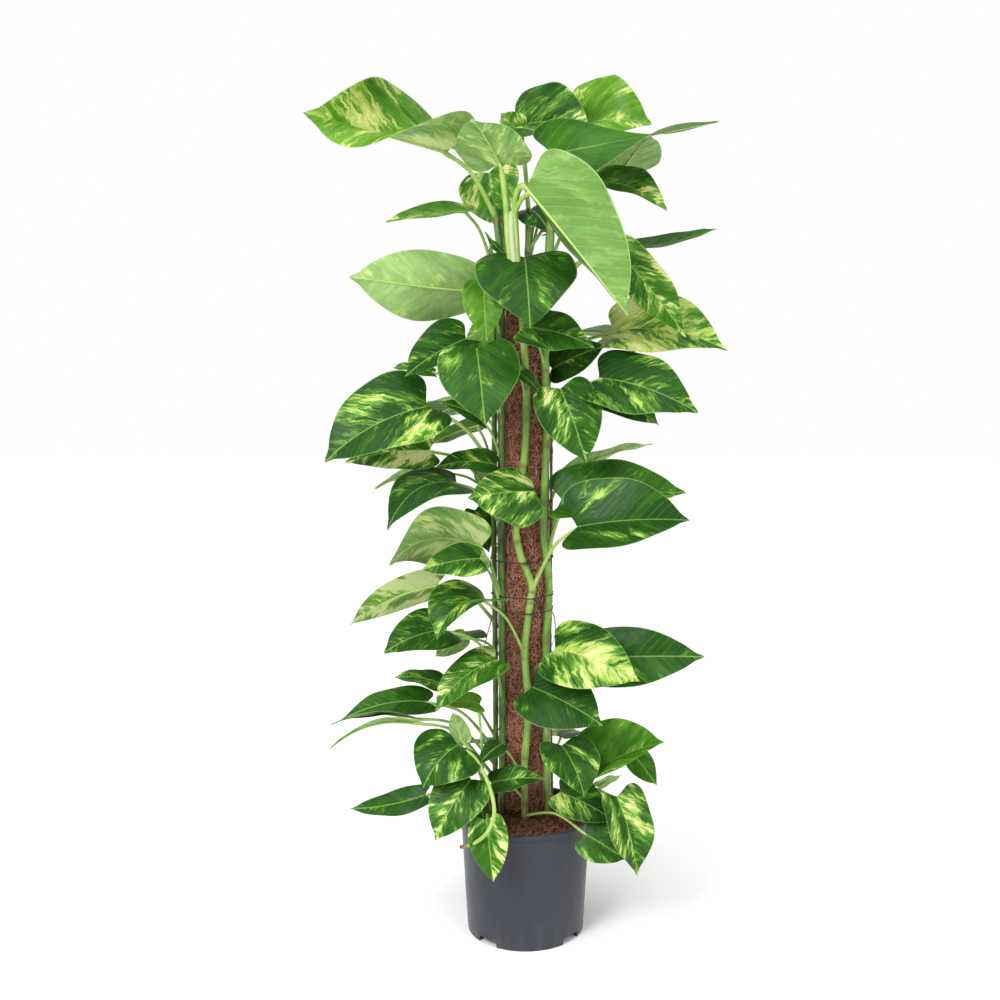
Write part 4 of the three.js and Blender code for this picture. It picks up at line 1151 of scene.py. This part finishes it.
def tie_loop(height):
    """A wire over the outer side of every stem at this height, in turn round the pole."""
    bends = []
    tied = [(stem_points(stem), stem["radius"]) for stem in list(STEMS.values())[:CLIMBERS]]
    tied.append((OLD_STEM, OLD_STEM_RADIUS))
    for route, radius in tied:
        route = np.array(route, float)
        if route[-1, 2] < height:
            continue
        x, y = (np.interp(height, route[:, 2], route[:, k]) for k in (0, 1))
        outward = math.atan2(y, x)
        reach = radius + TIE_SLACK + TIE_RADIUS
        for bend in np.linspace(-TIE_HOLD, TIE_HOLD, 7):
            bx, by = x + reach * math.cos(outward + bend), y + reach * math.sin(outward + bend)
            bends.append((bx, by, height + TIE_SLANT * bx))
    bends.sort(key=lambda p: math.atan2(p[1], p[0]))
    return bends + bends[:2]


def twisted_ends(loop):
    """Two short strands wound round each other, standing out from the loop's front."""
    front = np.array(min(loop, key=lambda p: p[1])) + (3, -0.3, 0)
    strands = []
    for start in (0, math.pi):
        t = np.linspace(0, 1, 40)
        angle = start + t * TWISTS * math.tau
        spread = TIE_RADIUS * 0.95
        turns = [9 * t, spread * np.cos(angle) - 4 * t, spread * np.sin(angle) - 3 * t]
        strands.append((front + np.stack(turns, 1), TIE_RADIUS * 0.85))
    return strands


coated_wire = two_tone(
    "coated_wire",
    (0.02, 0.028, 0.018),
    roughness=0.5,
    specular=0.4,
    grain=(700, 3),
    limits=(0.4, 0.7),
    tones=((0.012, 0.018, 0.011), (0.05, 0.06, 0.04)),
    relief=(0.2, 0.0002),
)
for order, height in enumerate(TIE_HEIGHTS, 1):
    loop = tie_loop(height)
    tie = draw_tubes(f"tie_wire_{order}", [(loop, TIE_RADIUS), *twisted_ends(loop)], 8, coated_wire, ())
    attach(tie, "root")
    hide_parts(f"tie_{order}")

# ---- hanging roots ----
# Thin dried aerial roots that hang from the joints of the stems, brown and wiry.
HANGING_ROOTS = [
    [(-34, -18, 470), (-41, -34, 466), (-50, -46, 440), (-57, -52, 412), (-66, -58, 388)],
    [(-6, -40, 648), (2, -50, 640), (6, -52, 618), (3, -50, 598)],
    [(28, -26, 616), (34, -34, 606), (33, -36, 588)],
    [(-14, -41, 585), (-22, -48, 572), (-24, -49, 552), (-20, -47, 536)],
    [(-32, -20, 560), (-44, -28, 548), (-47, -31, 520)],
    [(26, -27, 470), (37, -36, 462), (40, -38, 436), (36, -36, 418)],
    [(-32, -19, 300), (-42, -30, 290), (-45, -33, 262)],
]
root_lines = []
for route in HANGING_ROOTS:
    path = smooth_path(route, 10)
    root_lines.append((path, np.linspace(1.1, 0.45, len(path))))
hanging_roots = draw_tubes("hanging_roots", root_lines, 8, dry_bark, ())
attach(hanging_roots, "root")

# ---- floor, light and camera ----
# A plain white studio floor, broad soft light from above the camera on both sides, and a camera at the
# height of the upper leaves.
FLOOR_HALF = 6

floor_corners = [(FLOOR_HALF * x, FLOOR_HALF * y, 0) for x, y in ((-1, -1), (1, -1), (1, 1), (-1, 1))]
floor = plain_mesh("studio_floor", floor_corners, [(0, 1, 2, 3)])
floor_paint = two_tone(
    "studio_floor",
    (0.93, 0.93, 0.93),
    roughness=0.9,
    specular=0.1,
    grain=(3, 2),
    limits=(0.3, 0.7),
    tones=((0.92, 0.92, 0.92), (0.94, 0.94, 0.94)),
)
floor.data.materials.append(floor_paint)


def add_light(name, kind, place, target, energy, **settings):
    data = bpy.data.lights.new(name, kind)
    for key, value in {"energy": energy, **settings}.items():
        setattr(data, key, value)
    light = new_object(name, data)
    light.location = place
    light.rotation_euler = (Vector(target) - Vector(place)).to_track_quat("-Z", "Y").to_euler()


add_light("key", "AREA", (-1.4, -2.0, 2.0), (0, 0, 0.6), 60, shape="DISK", size=1.3)
add_light("fill", "AREA", (1.9, -1.6, 1.4), (0, 0, 0.6), 26, shape="DISK", size=1.2)
add_light("overhead", "SUN", (-0.3, -0.5, 2.0), (0, 0, 0), 2.6, angle=math.radians(70))

world = bpy.data.worlds.new("studio")
world.use_nodes = True
sky = world.node_tree
sky.nodes.clear()
seen = add_node(sky, "ShaderNodeBackground", {"Color": (1, 1, 1, 1), "Strength": 1.0})
lit = add_node(sky, "ShaderNodeBackground", {"Color": (1, 1, 1, 1), "Strength": 0.32})
ray = add_node(sky, "ShaderNodeLightPath")
gloss = number("MULTIPLY", ray.outputs["Is Glossy Ray"], 0.45)
bright = number("MAXIMUM", ray.outputs["Is Camera Ray"], gloss)
both = add_node(sky, "ShaderNodeMixShader", {0: bright, 1: lit.outputs[0], 2: seen.outputs[0]})
add_node(sky, "ShaderNodeOutputWorld", {"Surface": both.outputs[0]})
bpy.context.scene.world = world
bpy.context.scene.view_settings.view_transform = "Standard"

lens = bpy.data.cameras.new("camera")
lens.lens = 45.61
lens.shift_x = -0.0255
camera = new_object("camera", lens)
camera.location = (0, -1.7, 0.865)
camera.rotation_euler = (math.radians(81.5), 0, 0)
bpy.context.scene.camera = camera
